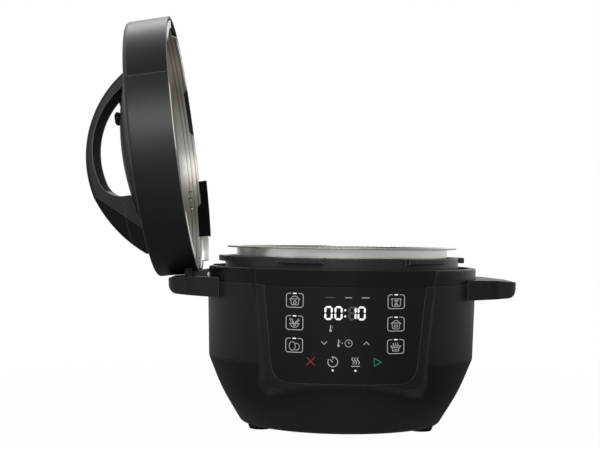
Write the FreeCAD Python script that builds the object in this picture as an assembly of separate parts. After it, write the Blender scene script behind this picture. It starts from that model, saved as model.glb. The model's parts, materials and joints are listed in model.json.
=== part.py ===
import FreeCAD, Part
import math
import os
from FreeCAD import Vector

# Electric pressure cooker with its lid standing open. Millimetres, +Z up, +X to the right of the
# control panel, the panel facing -Y. The origin is under the middle of the body, at the feet.
# The radii run outwards from the inner pot, and the heights run upwards from the feet.
# The lid is modelled closed on the body and then swung open about its hinge pin.

# Clearances
CLEAR = 0.3               # between pieces that do not slide
SEAM_GAP = 0.5            # shadow line at the body's parting
SLIDE_CLEAR = 0.06        # radial running clearance of the probe and of the cup on its pegs
VALVE_CLEAR = 0.08        # radial running clearance of the valves and the steam button
PIN_CLEAR = 0.05          # lid ears on the hinge pin
PRESS_CLEAR = 0.02        # hinge pin in its bracket, pipe in the plate
SCREW_CLEAR = 0.1

# Inner pot
POT_R = 126.0             # outside of the wall
POT_T = 0.9
POT_FLOOR_T = 2.2
POT_CORNER_R = 12.0
POT_LAP = 2.0             # flat edge of the wall around the pot's base
POT_RIM_W = 11.0          # flange around the mouth
POT_LIP = 1.8             # turned-down edge of that flange
POT_EDGE_R = 0.4
POT_RISE = 11.5           # mouth over the top of the bayonet ring

# Liner and bayonet ring around the pot
LINER_GAP = 3.0
LINER_T = 1.5
LINER_Z = 42.0            # underside of the liner
LINER_CORNER_R = 8.0
LINER_LAP = 2.0           # flat edge of the wall around the liner's floor
LINER_HOLE_R = 24.0
LINER_SHORT = 2.5         # the liner's flange stops short of the gutter's wall by this
LINER_DROP = 2.0          # the liner's edge below the top of the bayonet ring
NECK_T = 8.2              # wall of the bayonet ring
LUG_REACH = 7.8
LUG_H = 6.5
LUG_COUNT = 6
LUG_PHASE_DEG = 9.5       # first lug from +X
BASE_LUG_DEG = 21.0
RING_RISE = 12.0          # top of the bayonet ring over the deck
RING_EDGE_R = 1.2

# Body
GUTTER_GAP = 2.4          # room around the lid's guard in the gutter
GUTTER_DEPTH = 13.0
FLOOR_T = 2.0             # floor and outer wall of the gutter
DECK_W = 7.2
WALL_DRAFT = 3.0          # drawing in of the upper wall
BASE_DRAW = 39.0          # drawing in of the lower wall
BELLY_OUT = 4.0           # corner in the middle of the lower wall, before its rounding
BELLY_R = 220.0           # rounding of that corner
BASE_Z = 5.0              # underside of the housing, held up by the feet
LOWER_H = 77.0            # from the underside to the kink
UPPER_H = 89.5            # from the kink to the parting
RING_H = 17.5             # from the parting to the deck
WALL = 3.0
BASE_EDGE_R = 6.0
KINK_EDGE_R = 14.0
DECK_EDGE_R = 2.0
TONGUE_H = 6.0            # tongue of the top ring inside the housing's edge
TONGUE_T = 2.0
FLANGE_W = 32.0           # underside left around the bottom cover's opening
REBATE_W = 8.0            # step around that opening, in which the cover's rim lies
REBATE_H = 1.5

# Control panel on the front bulge
BULGE_OUT = 7.0           # face of the bulge in front of the deck's edge
BULGE_DEPTH = 85.0        # face to the hidden back of the bulge
BULGE_LEAD = 6.0          # how far in front of the face its shape is drawn
PANEL_TOP_HALF = 91.7     # half width of the face at the deck
PANEL_LOW_HALF = 78.7     # half width of the face at its bottom edge
PANEL_LOW_Z = 65.3
PANEL_CORNER_R = 21.0
PANEL_DRAFT = 0.28        # sideways growth of the bulge per depth behind the face
PANEL_LEDGE = 0.40        # downward growth of the bulge per depth behind the face
FACE_BEVEL = 0.9
OVERLAY_INSET = 1.5       # rim of the bulge left around the touch panel
OVERLAY_T = 1.6
OVERLAY_PROUD = 0.2
BOARD_BACK = 20.0         # control board behind the face
BOARD_HALF_W = 62.0
BOARD_LOW_GAP = 20.0      # board over the panel's bottom edge
BOARD_TOP_GAP = 7.5       # board below the parting
BOARD_T = 1.6
BOARD_HOLE_IN = 6.0       # the board's bosses from its edges
BOSS_R = 3.0
DISPLAY_HALF_W = 33.0
DISPLAY_H = 22.0
DISPLAY_DROP = 20.5       # top of the display below the parting
DISPLAY_BACK = 5.0        # display behind the touch panel
WINDOW_GAP = 1.0

# Heater and its sprung probe
HEATER_IN = 20.0          # edge of the heater inside the pot's wall
HEATER_T = 14.0
HEATER_SLANT = 16.0
HEATER_EDGE_H = 6.0
COIL_R = 78.0             # path of the heating rod under the plate
COIL_ROD_R = 4.5
COIL_CLEAR = 0.2
COIL_DEG = 330.0
PROBE_R = 14.0
PROBE_CAP_H = 8.0
PROBE_STEM_R = 4.0
GUIDE_DROP = 6.0          # bracket of the probe's stem, below the liner
GUIDE_T = 1.5
GUIDE_HALF_W = 30.0
GUIDE_HALF_D = 9.0
SPRING_R = 7.0
SPRING_WIRE_R = 0.7
SPRING_SEAT = 0.1
SPRING_TURNS = 4

# Handles on the sides
HANDLE_REACH = 44.3       # tip from the deck's edge
HANDLE_DROP = 12.5        # top below the deck
HANDLE_H = 23.9
HANDLE_HALF_W = 74.0
HANDLE_TIP_HALF = 42.0
HANDLE_SHOULDER = 16.0    # how far out the grip keeps its width
HANDLE_TAPER = 8.0
HANDLE_CORNER_R = 24.0
HANDLE_ROOT = 30.0        # depth of the handle's root behind the deck's edge
HANDLE_RISE = 3.5         # rise of the underside towards the tip
HANDLE_TIP_R = 11.0       # lower corner of the tip
HANDLE_LIP_R = 2.5        # upper corner of the tip
HANDLE_SLOPE = 2.5        # fall of the top towards the tip
HANDLE_LEAN = 2.5         # lean of the tip
GRIP_WALL = 6.0           # rim left around the finger pocket
GRIP_ROOF_T = 8.5         # top wall over the finger pocket
POCKET_END = 20.0         # pocket's end from the end of the handle
POCKET_R = 14.0
PAD_Y = 45.0              # place of the rest pads beside the open lid
PAD_OUT = 23.5            # pads from the hinge's axis
PAD_HALF = 4.5
PAD_H = 12.0
PAD_SINK = 0.1

# Locking ring in the lid
SKIRT_GAP = 1.2           # ring outside the lugs of the body
SKIRT_T = 1.2
LUG_PLAY = 1.5            # lugs of the ring outside the body's neck
SKIRT_LUG_T = 1.8
SKIRT_LUG_DEG = 30.0
SKIRT_FLANGE_W = 10.0
NOTCH_H = 5.0             # height of the notches between the lugs
NOTCH_DEG = 25.0
NOTCH_SLANT = 6.0         # lean of the notches' ends
BAND_START_DEG = 105.0    # black guard on the locking ring, from +X about the lid's axis
BAND_END_DEG = 138.0
TAIL_END_DEG = 160.0      # lower guard that follows it
BAND_T = 1.2
BAND_DROP = 10.0          # reach of the guard past the lid's edge
TAIL_DROP = 7.0
BAND_BACK = 10.0          # reach of the guard up the ring's wall
RIVET_DEGS = (110.5, 114.2, 119.3)
RIVET_R = 2.6
RIVET_H = 1.1
RIVET_LIFT = 12.5         # rivets over the lid's edge

# Lid, heights measured from its open edge when closed
LID_GAP = 1.5             # lid's edge over the deck when closed
LID_ROOM = 1.0            # lid's wall outside the guard
LID_T = 2.6
LID_DRAFT = 1.5           # drawing in of the lid's wall towards the shoulder
LID_WALL_H = 50.0
SHOULDER_FILLET = 3.5
CROWN_IN = 44.0           # edge of the domed crown, inside the lid's wall
CROWN_EDGE_H = 53.0
LID_CROWN_H = 75.5
CAP_HALF_DEG = 61.5       # half span of the rim's separate front segment
CAP_GAP_DEG = 0.08        # half of the shadow line at each end of that segment
CAP_SHORT = 4.0           # segment's edge below the shoulder
CAP_T = 1.4
CAP_PROUD = 0.3           # how far the segment stands out of the rim
SEAL_H = 7.5              # room for the seal between the pot's rim and the plate
SEAL_LIP = 1.5
PLATE_T = 1.2
PLATE_GAP = 1.5           # plate inside the locking ring
PLATE_STEP_R = 76.0       # raised middle of the plate
PLATE_STEP_W = 8.0
PLATE_RISE = 3.0
PLATE_BEND_R = 5.0
PLATE_RIM_DROP = 14.5     # turned-down rim of the plate
COVER_POST_R = 5.0        # posts that hang the plate from the cover
POST_OUT = 10.0           # ring of posts outside the plate's step
POST_DEGS = (45, 135, 225, 315)
SLIDE_RING_T = 1.4        # ring that centres the locking ring in the lid
SLIDE_RING_H = 3.0
SLIDE_RING_LIFT = 12.0
RACK_IN = 3.4             # wire ring inside the seal
RACK_WIRE_R = 1.5
RACK_BEVEL = 0.8
RACK_DROP = 4.0
RACK_CLIPS = 6
RACK_CLIP_HALF = 3.0

# Lid hinge
HINGE_OUT = 2.0           # hinge axis outside the lid's wall
HINGE_DROP = 12.0         # hinge axis below the lid's edge
LID_OPEN_DEG = 97.6
PIN_R = 2.5
BARREL_R = 6.5
BARREL_ROOM = 0.6         # body's notch around the barrel
WEB_T = 3.0               # web of the bracket inside the housing
WEB_H = 32.0
EAR_IN_Y = 20.0
EAR_OUT_Y = 32.0
EAR_ROOM = 2.0            # end of the notch beside the ears
EAR_OUT = 2.5             # ear arm outside the hinge axis
EAR_H = 7.0               # ear arm up the lid's wall
SWEEP_OUT = 24.0          # room beside the body in which the ears swing
SWEEP_LOW = 8.0
SWEEP_HIGH = 10.0
LID_REST = 1.0            # handle below the open lid

# Lid handle, as (x, height over the lid's edge)
ARCH_FRONT = (91.0, 61.8)
ARCH_TOP = (-15.0, 117.2)
ARCH_REAR = (-124.0, 62.0)
GRIP_FRONT = (74.5, 64.0)
GRIP_TOP = (10.0, 106.8)
GRIP_BACK = (-31.0, 104.6)
GRIP_BEND = (-46.5, 95.5)
GRIP_HEEL = (-53.0, 77.0)
GRIP_FOOT_H = 30.0        # sunk foot of the handle, cut away by the lid's crown
MOUNT_H = 77.5            # joint between the arch and its rear mount
MOUNT_SEAM = 0.4
PROW_HIGH = (-44.5, 116.0)
PROW_LOW = (-92.0, 61.0)
PROW_TIP = (-126.5, 61.5)
ARCH_HALF_W = 35.0
ARCH_FILLET = 4.0
ARCH_FILLET_FROM = 90.0
CROWN_GAP = 0.2           # handle over the crown
INSERT_HALF_W = 30.0      # lining of the grip
INSERT_T = 3.0
INSERT_REAR_X = -44.0
INSERT_FRONT_X = 78.0
INSERT_LOW_H = 67.0

# Valves on the lid
VALVE_X = 41.0
VALVE_R = 8.0
VALVE_H = 6.8
VALVE_SEAT = 0.4          # underside of the valve over the crown, at its inner edge
VALVE_WAIST = 4.0
VALVE_TAPER = 2.0
PIPE_OUT = 3.6            # reach of the pipe over the crown
PIPE_IN = 4.0             # reach of the pipe below the plate
PIPE_R = 4.0
PIPE_BORE_R = 2.2
PIPE_ROOM = 1.5
COLLAR_W = 2.5
COLLAR_H = 3.0
SHIELD_R = 15.0
SHIELD_H = 12.0
SHIELD_T = 1.4
SHIELD_SLOTS = 6
SHIELD_SLOT_HALF = 1.2
SHIELD_SLOT_H = 5.0
FLOAT_X = 34.0
FLOAT_Y = 40.0
FLOAT_R = 3.8
FLOAT_STEM_R = 2.6
FLOAT_DROP = 10.0         # reach of the float's stem below the plate
FLOAT_FOOT_H = 2.0
FLOAT_FOOT_W = 2.0
FLOAT_SINK = 0.5          # float's head below the crown
FLOAT_SEAL_W = 3.0
FLOAT_SEAL_H = 2.2
BUTTON_X = 60.0
BUTTON_R = 5.0
BUTTON_OUT = 4.0          # button over the crown
BUTTON_TRAVEL = 3.0
BUTTON_LOW = 11.0         # lower end of the button over the plate
BORE_FROM = 40.0          # bores through the cover, over the lid's edge
BORE_TO = 95.0

# Back of the body
CUP_HALF_W = 34.0
CUP_DEPTH = 20.0
CUP_DROP = 18.0           # cup's mouth below the gutter's floor
CUP_H = 50.0
CUP_T = 1.8
CUP_CORNER_R = 8.0
PEG_R = 3.0
PEG_X = 20.0
PEG_DROP = 16.0           # pegs below the cup's mouth
PEG_REACH = 9.0
PEG_BOSS = 2.0
INLET_HALF_W = 19.0
INLET_LOW_Z = 13.0
INLET_H = 28.0
INLET_PROUD = 3.0
INLET_DEPTH = 17.0
INLET_REACH = 32.0        # length of the inlet's body into the housing
INLET_RIM = 5.5
INLET_PIN_X = 7.0
INLET_PIN_RISE = 2.0
INLET_PIN_HALF_W = 1.0
INLET_PIN_HALF_H = 2.0
INLET_PIN_L = 10.0
SPOUT_HALF_W = 9.0
SPOUT_H = 8.0
SPOUT_T = 2.0
SPOUT_LIFT = 0.4
SPOUT_REACH = 7.0         # reach of the spout past the deck's edge
FOOT_INSET = 15.0         # feet from the edge of the underside
FOOT_DEG = 25.0           # feet from the X axis
FOOT_R = 14.5
FOOT_STEM_R = 4.0
FOOT_TAPER = 2.0

# Power board on the bottom cover
POWER_BOARD_Z = 20.0
POWER_SIDE = 40.0         # board's long edges from the edge of the opening
POWER_END = 22.0          # board's short edges from the edge of the opening
POST_IN = 6.0             # posts from the board's edges
POST_R = 3.5
SCREW_R = 1.4
SCREW_HEAD_R = 3.2
SCREW_HEAD_H = 1.9
SCREW_TIP = 1.0           # screw holes past the screws' ends
COVER_BOSS_R = 3.6
COVER_BOSS_H = 8.0
LID_SCREW_L = 10.0
VENT_ROWS = 9
VENT_PITCH = 12.0
VENT_POST_GAP = 6.5
VENT_HALF_W = 2.5
RELAY_SIZE = (20.0, 16.0, 14.0)                  # width, depth, height
RELAY_SIDE = 19.0         # middle of the relay from the board's left edge
RELAY_END = 28.0          # middle of the relay from the board's back edge
TRANSFORMER_SIZE = (28.0, 24.0, 18.0)
TRANSFORMER_SIDE = 22.0   # middle of the transformer from the board's right edge
TRANSFORMER_END = 33.0    # middle of the transformer from the board's back edge
CAPACITOR_R = 7.0
CAPACITOR_H = 13.0
CAPACITOR_SIDE = 16.0     # axis of the capacitor from the board's left edge
CAPACITOR_END = 60.0      # axis of the capacitor from the board's front edge

# Radii, from the pot outwards
POT_RIM_R = POT_R + POT_RIM_W
HEATER_R = POT_R - HEATER_IN
LINER_R = POT_R + LINER_GAP
LINER_OUT = LINER_R + LINER_T
POT_BASE_R = POT_R - POT_CORNER_R - POT_LAP
LINER_FLOOR_R = LINER_OUT - LINER_CORNER_R - LINER_LAP
NECK_IN = LINER_OUT + CLEAR
NECK_R = NECK_IN + NECK_T
LUG_R = NECK_R + LUG_REACH
SKIRT_R = LUG_R + SKIRT_GAP
SKIRT_OUT = SKIRT_R + SKIRT_T
SKIRT_LUG_R = NECK_R + LUG_PLAY
GUARD_R = SKIRT_OUT + BAND_T
PLATE_R = SKIRT_R - PLATE_GAP
LID_R = GUARD_R + LID_ROOM + LID_T
SHOULDER_R = LID_R - LID_DRAFT
CROWN_R = LID_R - CROWN_IN
GUTTER_R = GUARD_R + GUTTER_GAP
BODY_R = GUTTER_R + DECK_W
KINK_R = BODY_R - WALL_DRAFT
BASE_R = KINK_R - BASE_DRAW
BELLY_X = (BASE_R + KINK_R) / 2 + BELLY_OUT
FLANGE_R = BASE_R - FLANGE_W
FACE_R = BODY_R + BULGE_OUT
POWER_HALF_W = FLANGE_R - POWER_SIDE
POWER_HALF_D = FLANGE_R - POWER_END
VENT_HALF_L = POWER_HALF_W - POST_IN - POST_R - VENT_POST_GAP
BOARD_Y = FACE_R - BOARD_BACK
FOOT_RING_R = BASE_R - FOOT_INSET
POST_RING_R = PLATE_STEP_R + PLATE_STEP_W + POST_OUT
HANDLE_TIP_X = BODY_R + HANDLE_REACH

# Heights, from the feet upwards
KINK_Z = BASE_Z + LOWER_H
BELLY_Z = (BASE_Z + KINK_Z) / 2
SEAM_Z = KINK_Z + UPPER_H
DECK_Z = SEAM_Z + RING_H
GUTTER_Z = DECK_Z - GUTTER_DEPTH
RING_TOP_Z = DECK_Z + RING_RISE
LUG_LOW_Z = RING_TOP_Z - LUG_H
POT_RIM_Z = RING_TOP_Z + POT_RISE
LID_Z = DECK_Z + LID_GAP
PLATE_H = POT_RIM_Z + SEAL_H - LID_Z
HANDLE_TOP_Z = DECK_Z - HANDLE_DROP
HANDLE_LOW_Z = HANDLE_TOP_Z - HANDLE_H
GRIP_ROOF_Z = HANDLE_TOP_Z - GRIP_ROOF_T
BOARD_LOW_Z = PANEL_LOW_Z + BOARD_LOW_GAP
BOARD_TOP_Z = SEAM_Z - BOARD_TOP_GAP
DISPLAY_TOP_Z = SEAM_Z - DISPLAY_DROP
CUP_TOP_Z = GUTTER_Z - CUP_DROP
PEG_Z = CUP_TOP_Z - PEG_DROP
INLET_TOP_Z = INLET_LOW_Z + INLET_H

# Lid hinge axis, and the turn from one set of lugs to the next gap
HINGE_X = -LID_R - HINGE_OUT
HINGE_Z = LID_Z - HINGE_DROP
NOTCH_HALF_Y = EAR_OUT_Y + EAR_ROOM
LUG_PITCH = 360.0 / LUG_COUNT
LOCK_DEG = LUG_PITCH / 2

UP = Vector(0, 0, 1)
ALONG_X = Vector(1, 0, 0)
ALONG_Y = Vector(0, 1, 0)
HINGE = Vector(HINGE_X, 0, HINGE_Z)
FAR = 500.0               # past every piece, for cutters
PAST = 5.0                # short reach of a cutter past the face that it opens
NEAR = 0.01               # an edge closer than this to a face belongs to it
SAME_PLACE = 1e-6         # points closer than this are one point


# Shape helpers

def rounded_corner(before, at, after, radius):
    """Start, middle and end of the arc that rounds a corner."""
    back = (before - at).normalize()
    ahead = (after - at).normalize()
    half = back.getAngle(ahead) / 2
    bisector = (back + ahead).normalize()
    reach = radius / math.tan(half)
    middle = at + bisector * (radius / math.sin(half) - radius)
    return at + back * reach, middle, at + ahead * reach


def outline(points):
    """Closed wire in the XZ plane through (x, z) or (x, z, corner radius) points."""
    places = [Vector(p[0], 0, p[1]) for p in points]
    count = len(points)
    corners = []
    for i, point in enumerate(points):
        if len(point) == 3:
            corners.append(rounded_corner(places[i - 1], places[i], places[(i + 1) % count], point[2]))
        else:
            corners.append((places[i],))
    edges = []
    for i, corner in enumerate(corners):
        if len(corner) == 3:
            edges.append(Part.Arc(*corner).toShape())
        following = corners[(i + 1) % count]
        if corner[-1].distanceToPoint(following[0]) > SAME_PLACE:
            edges.append(Part.LineSegment(corner[-1], following[0]).toShape())
    return Part.Wire(edges)


def turned(points, degrees=360.0, start=0.0):
    """Solid of revolution about Z from an (r, z) outline."""
    solid = Part.Face(outline(points)).revolve(Vector(), UP, degrees)
    solid.rotate(Vector(), UP, start)
    return solid


def turned_at(x, y, points):
    solid = turned(points)
    solid.translate(Vector(x, y, 0))
    return solid


def drawn(points, y_low, y_high):
    """An (x, z) outline drawn along Y."""
    face = Part.Face(outline(points))
    face.translate(Vector(0, y_low, 0))
    return face.extrude(Vector(0, y_high - y_low, 0))


def raised(points, z_low, z_high):
    """An (x, y) outline drawn upwards."""
    face = Part.Face(outline(points))
    face.rotate(Vector(), ALONG_X, -90)
    face.mirror(Vector(), ALONG_Y)
    face.translate(Vector(0, 0, z_low))
    return face.extrude(Vector(0, 0, z_high - z_low))


def ring(r_in, r_out, z_low, z_high):
    return turned([(r_in, z_low), (r_out, z_low), (r_out, z_high), (r_in, z_high)])


def arc_ring(r_in, r_out, z_low, z_high, start, end):
    """Part of a ring between two angles, in degrees from +X."""
    points = [(r_in, z_low), (r_out, z_low), (r_out, z_high), (r_in, z_high)]
    return turned(points, end - start, start)


def block(x_low, x_high, y_low, y_high, z_low, z_high):
    corner = Vector(x_low, y_low, z_low)
    return Part.makeBox(x_high - x_low, y_high - y_low, z_high - z_low, corner)


def rod(radius, x, y, z_low, z_high):
    return Part.makeCylinder(radius, z_high - z_low, Vector(x, y, z_low), UP)


def cross_rod(radius, x, z, y_low, y_high):
    return Part.makeCylinder(radius, y_high - y_low, Vector(x, y_low, z), ALONG_Y)


def spread(shape, count, start=0.0):
    """Evenly spaced copies of a shape about Z."""
    copies = []
    for i in range(count):
        copy = shape.copy()
        copy.rotate(Vector(), UP, start + i * 360.0 / count)
        copies.append(copy)
    return copies


def joined(first, *others):
    return first.fuse(list(others)).removeSplitter()


def less(first, *others):
    return first.cut(list(others))


def opened(shape):
    """A piece of the closed lid, swung to where the lid stands open."""
    copy = shape.copy()
    copy.rotate(HINGE, Vector(0, -1, 0), LID_OPEN_DEG)
    return copy


def over_lid(height):
    """Height above the feet of a height over the closed lid's edge."""
    return LID_Z + height


def on_circle(radius, degrees):
    angle = math.radians(degrees)
    return radius * math.cos(angle), radius * math.sin(angle)


def wall_r(z):
    """Outer radius of the body's upper wall."""
    return KINK_R + (BODY_R - KINK_R) * (z - KINK_Z) / (DECK_Z - KINK_Z)


def low_wall_r(z):
    """Outer radius of the body's lower wall."""
    if z < BELLY_Z:
        return BASE_R + (BELLY_X - BASE_R) * (z - BASE_Z) / (BELLY_Z - BASE_Z)
    return BELLY_X + (KINK_R - BELLY_X) * (z - BELLY_Z) / (KINK_Z - BELLY_Z)


def middle_of(edge):
    return edge.valueAt((edge.FirstParameter + edge.LastParameter) / 2)


def save(name, *solids):
    shape = solids[0] if len(solids) == 1 else Part.makeCompound(list(solids))
    shape.exportStep(f"parts/{name}.step")
    print(f"{name}: {len(shape.Solids)} solids, {shape.Volume / 1000:.2f} cm3, valid {shape.isValid()}")


# Body forms

def bulge_outline(depth, inset):
    """Outline of the front bulge at a depth behind its face."""
    grow = PANEL_DRAFT * depth - inset
    low = PANEL_LOW_Z - PANEL_LEDGE * depth + inset
    top = DECK_Z + PAST
    corner = PANEL_CORNER_R
    return outline([
        (-PANEL_TOP_HALF - grow, top), (PANEL_TOP_HALF + grow, top),
        (PANEL_LOW_HALF + grow, low, corner), (-PANEL_LOW_HALF - grow, low, corner),
    ])


def bulge(inset):
    """Front bulge that carries the panel, drawn in by an inset on every side."""
    front = bulge_outline(-BULGE_LEAD, inset)
    front.translate(Vector(0, -FACE_R - BULGE_LEAD, 0))
    back = bulge_outline(BULGE_DEPTH, inset)
    back.translate(Vector(0, -FACE_R + BULGE_DEPTH, 0))
    solid = Part.makeLoft([front, back], True, True)
    return solid.common(rod(FACE_R - inset, 0, 0, 0, DECK_Z + PAST))


def softened_bulge():
    """The bulge with the edges of its face bevelled, cut level with the deck."""
    solid = bulge(0)
    edges = []
    for edge in solid.Edges:
        middle = middle_of(edge)
        on_face = abs(math.hypot(middle.x, middle.y) - FACE_R) < NEAR
        if on_face and middle.z < DECK_Z:
            edges.append(edge)
    return solid.makeChamfer(FACE_BEVEL, edges).common(rod(FAR, 0, 0, 0, DECK_Z))


def outer_form():
    body = turned([
        (0, BASE_Z), (BASE_R, BASE_Z, BASE_EDGE_R), (BELLY_X, BELLY_Z, BELLY_R),
        (KINK_R, KINK_Z, KINK_EDGE_R), (BODY_R, DECK_Z, DECK_EDGE_R), (0, DECK_Z),
    ])
    return body.fuse(softened_bulge())


def inner_form():
    body = turned([
        (0, BASE_Z + WALL), (BASE_R - WALL, BASE_Z + WALL, BASE_EDGE_R - WALL),
        (BELLY_X - WALL, BELLY_Z, BELLY_R - WALL), (KINK_R - WALL, KINK_Z, KINK_EDGE_R - WALL),
        (BODY_R - WALL, DECK_Z), (0, DECK_Z),
    ])
    return body.fuse(bulge(WALL))


def overlay_outline(gap):
    """Outline of the touch panel, grown by a gap."""
    inset = OVERLAY_INSET - gap
    slope = (PANEL_TOP_HALF - PANEL_LOW_HALF) / (DECK_Z - PANEL_LOW_Z)
    top = SEAM_Z - CLEAR + gap
    low = PANEL_LOW_Z + inset
    top_half = PANEL_LOW_HALF + slope * (top - PANEL_LOW_Z) - inset
    low_half = PANEL_LOW_HALF + slope * (low - PANEL_LOW_Z) - inset
    corner = PANEL_CORNER_R - inset
    return [(-top_half, top), (top_half, top), (low_half, low, corner), (-low_half, low, corner)]


def overlay_slab(gap, r_in, r_out):
    slab = drawn(overlay_outline(gap), -FACE_R - PAST, -FACE_R + BULGE_DEPTH)
    return slab.common(ring(r_in, r_out, PANEL_LOW_Z, SEAM_Z + gap))


def display_block(gap, y_low):
    half = DISPLAY_HALF_W + gap
    low = DISPLAY_TOP_Z - DISPLAY_H - gap
    return block(-half, half, y_low, -BOARD_Y - BOARD_T / 2, low, DISPLAY_TOP_Z + gap)


# Base pieces

def board_bosses():
    """Bosses behind the face that the control board stands on."""
    bosses = []
    for x in (-BOARD_HALF_W + BOARD_HOLE_IN, BOARD_HALF_W - BOARD_HOLE_IN):
        for z in (BOARD_LOW_Z + BOARD_HOLE_IN, BOARD_TOP_Z - BOARD_HOLE_IN):
            bosses.append(cross_rod(BOSS_R, x, z, -FACE_R + WALL / 2, -BOARD_Y - BOARD_T / 2))
    behind_panel = rod(FACE_R - OVERLAY_T - 2 * CLEAR, 0, 0, 0, DECK_Z)
    return [boss.common(behind_panel) for boss in bosses]


def control_board():
    half = BOARD_HALF_W
    return block(-half, half, -BOARD_Y - BOARD_T / 2, -BOARD_Y + BOARD_T / 2, BOARD_LOW_Z, BOARD_TOP_Z)


def cup_pegs():
    back = math.sqrt((wall_r(PEG_Z) - WALL) ** 2 - PEG_X ** 2) + WALL / 2
    return [cross_rod(PEG_R, x, PEG_Z, back, BODY_R + PEG_REACH) for x in (-PEG_X, PEG_X)]


def inlet_face_y():
    return low_wall_r(INLET_TOP_Z) + INLET_PROUD


def inlet_block(gap):
    half = INLET_HALF_W + gap
    root = inlet_face_y() - INLET_REACH
    return block(-half, half, root, inlet_face_y() + gap, INLET_LOW_Z - gap, INLET_TOP_Z + gap)


def foot_places():
    x, y = on_circle(FOOT_RING_R, FOOT_DEG)
    return [(sx * x, sy * y) for sx in (-1, 1) for sy in (-1, 1)]


def base_housing(outer, inner):
    floor_top = BASE_Z + WALL
    boss_top = floor_top + COVER_BOSS_H
    shell = less(outer, inner).common(rod(FAR, 0, 0, 0, SEAM_Z))
    bosses = [rod(COVER_BOSS_R, x, y, BASE_Z + REBATE_H, boss_top) for x, y in cover_screw_places()]
    shell = joined(shell, *bosses)
    pilots = [rod(SCREW_R, x, y, 0, boss_top) for x, y in cover_screw_places()]
    shell = less(shell, rod(FLANGE_R, 0, 0, 0, boss_top + PAST), *pilots)
    shell = less(shell, rod(FLANGE_R + REBATE_W, 0, 0, 0, BASE_Z + REBATE_H))
    shell = less(shell, overlay_slab(CLEAR, FACE_R - OVERLAY_T - CLEAR, FACE_R + PAST))
    shell = less(shell, display_block(WINDOW_GAP, -FACE_R - PAST), inlet_block(CLEAR))
    holes = [rod(FOOT_STEM_R + CLEAR, x, y, 0, floor_top + PAST) for x, y in foot_places()]
    return joined(less(shell, *holes), *board_bosses(), *cup_pegs())


def under_deck():
    """Hollow of the top ring below its deck and gutter."""
    deck_low = DECK_Z - WALL
    gutter_out = GUTTER_R + FLOOR_T
    floor_low = GUTTER_Z - FLOOR_T
    start = SEAM_Z - SEAM_GAP
    return turned([
        (0, start), (wall_r(start) - WALL, start), (wall_r(deck_low) - WALL, deck_low),
        (gutter_out, deck_low), (gutter_out, floor_low), (0, floor_low),
    ])


def notch_reach():
    """Inner face of the hinge notch, from the body's axis."""
    return -HINGE_X - BARREL_R - BARREL_ROOM


def hinge_notch(gap):
    half = NOTCH_HALF_Y + gap
    low = HINGE_Z - BARREL_R - SWEEP_LOW
    return block(-FAR, -notch_reach() + gap, -half, half, low, FAR)


def spout_block(gap):
    half = SPOUT_HALF_W + gap
    low = GUTTER_Z + SPOUT_LIFT - gap
    high = GUTTER_Z + SPOUT_H + gap
    return block(-half, half, GUTTER_R - FLOOR_T, BODY_R + SPOUT_REACH, low, high)


def top_ring(outer):
    low = SEAM_Z + SEAM_GAP
    solid = outer.common(rod(FAR, 0, 0, low, FAR))
    front_hollow = bulge(WALL).common(rod(FACE_R, 0, 0, 0, DECK_Z - WALL))
    front_hollow = less(front_hollow, ring(0, GUTTER_R + FLOOR_T, GUTTER_Z - FLOOR_T, DECK_Z))
    gutter = rod(GUTTER_R, 0, 0, GUTTER_Z, FAR)
    middle = rod(NECK_R + CLEAR, 0, 0, 0, FAR)
    solid = less(solid, under_deck(), front_hollow, gutter, middle)
    tongue_low = SEAM_Z - TONGUE_H
    tongue_r = wall_r(tongue_low) - WALL - CLEAR
    root_r = wall_r(low) - WALL / 2
    tongue = turned([
        (tongue_r - TONGUE_T, tongue_low), (tongue_r, tongue_low), (tongue_r, low),
        (root_r, low), (root_r, low + TONGUE_T), (tongue_r - TONGUE_T, low + TONGUE_T),
    ])
    return less(joined(solid, tongue), hinge_notch(0), spout_block(CLEAR))


def drain_spout():
    half = SPOUT_HALF_W - SPOUT_T
    channel = block(-half, half, 0, FAR, GUTTER_Z + SPOUT_T, DECK_Z)
    return less(spout_block(0), channel)


def bayonet_ring():
    low = GUTTER_Z - FLOOR_T
    neck = turned([
        (NECK_IN, low), (NECK_R, low), (NECK_R, RING_TOP_Z, RING_EDGE_R), (NECK_IN, RING_TOP_Z, RING_EDGE_R),
    ])
    root = NECK_R - NECK_T / 2
    profile = [
        (root, LUG_LOW_Z), (LUG_R, LUG_LOW_Z, RING_EDGE_R),
        (LUG_R, RING_TOP_Z, RING_EDGE_R), (root, RING_TOP_Z),
    ]
    lug = turned(profile, BASE_LUG_DEG, -BASE_LUG_DEG / 2)
    return joined(neck, *spread(lug, LUG_COUNT, LUG_PHASE_DEG))


def liner():
    flange_top = GUTTER_Z - FLOOR_T
    flange_low = flange_top - LINER_T
    flange_r = GUTTER_R - LINER_SHORT
    top = RING_TOP_Z - LINER_DROP
    floor = LINER_Z + LINER_T
    shell = turned([
        (LINER_FLOOR_R, LINER_Z), (LINER_OUT, LINER_Z, LINER_CORNER_R), (LINER_OUT, flange_low),
        (flange_r, flange_low), (flange_r, flange_top), (LINER_OUT, flange_top), (LINER_OUT, top),
        (LINER_R, top), (LINER_R, floor, LINER_CORNER_R - LINER_T), (LINER_FLOOR_R, floor),
    ])
    return less(shell, hinge_notch(LINER_T))


def liner_floor():
    return ring(LINER_HOLE_R, LINER_FLOOR_R - PRESS_CLEAR, LINER_Z, LINER_Z + LINER_T)


def heater_top():
    return LINER_Z + LINER_T + HEATER_T


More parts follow.
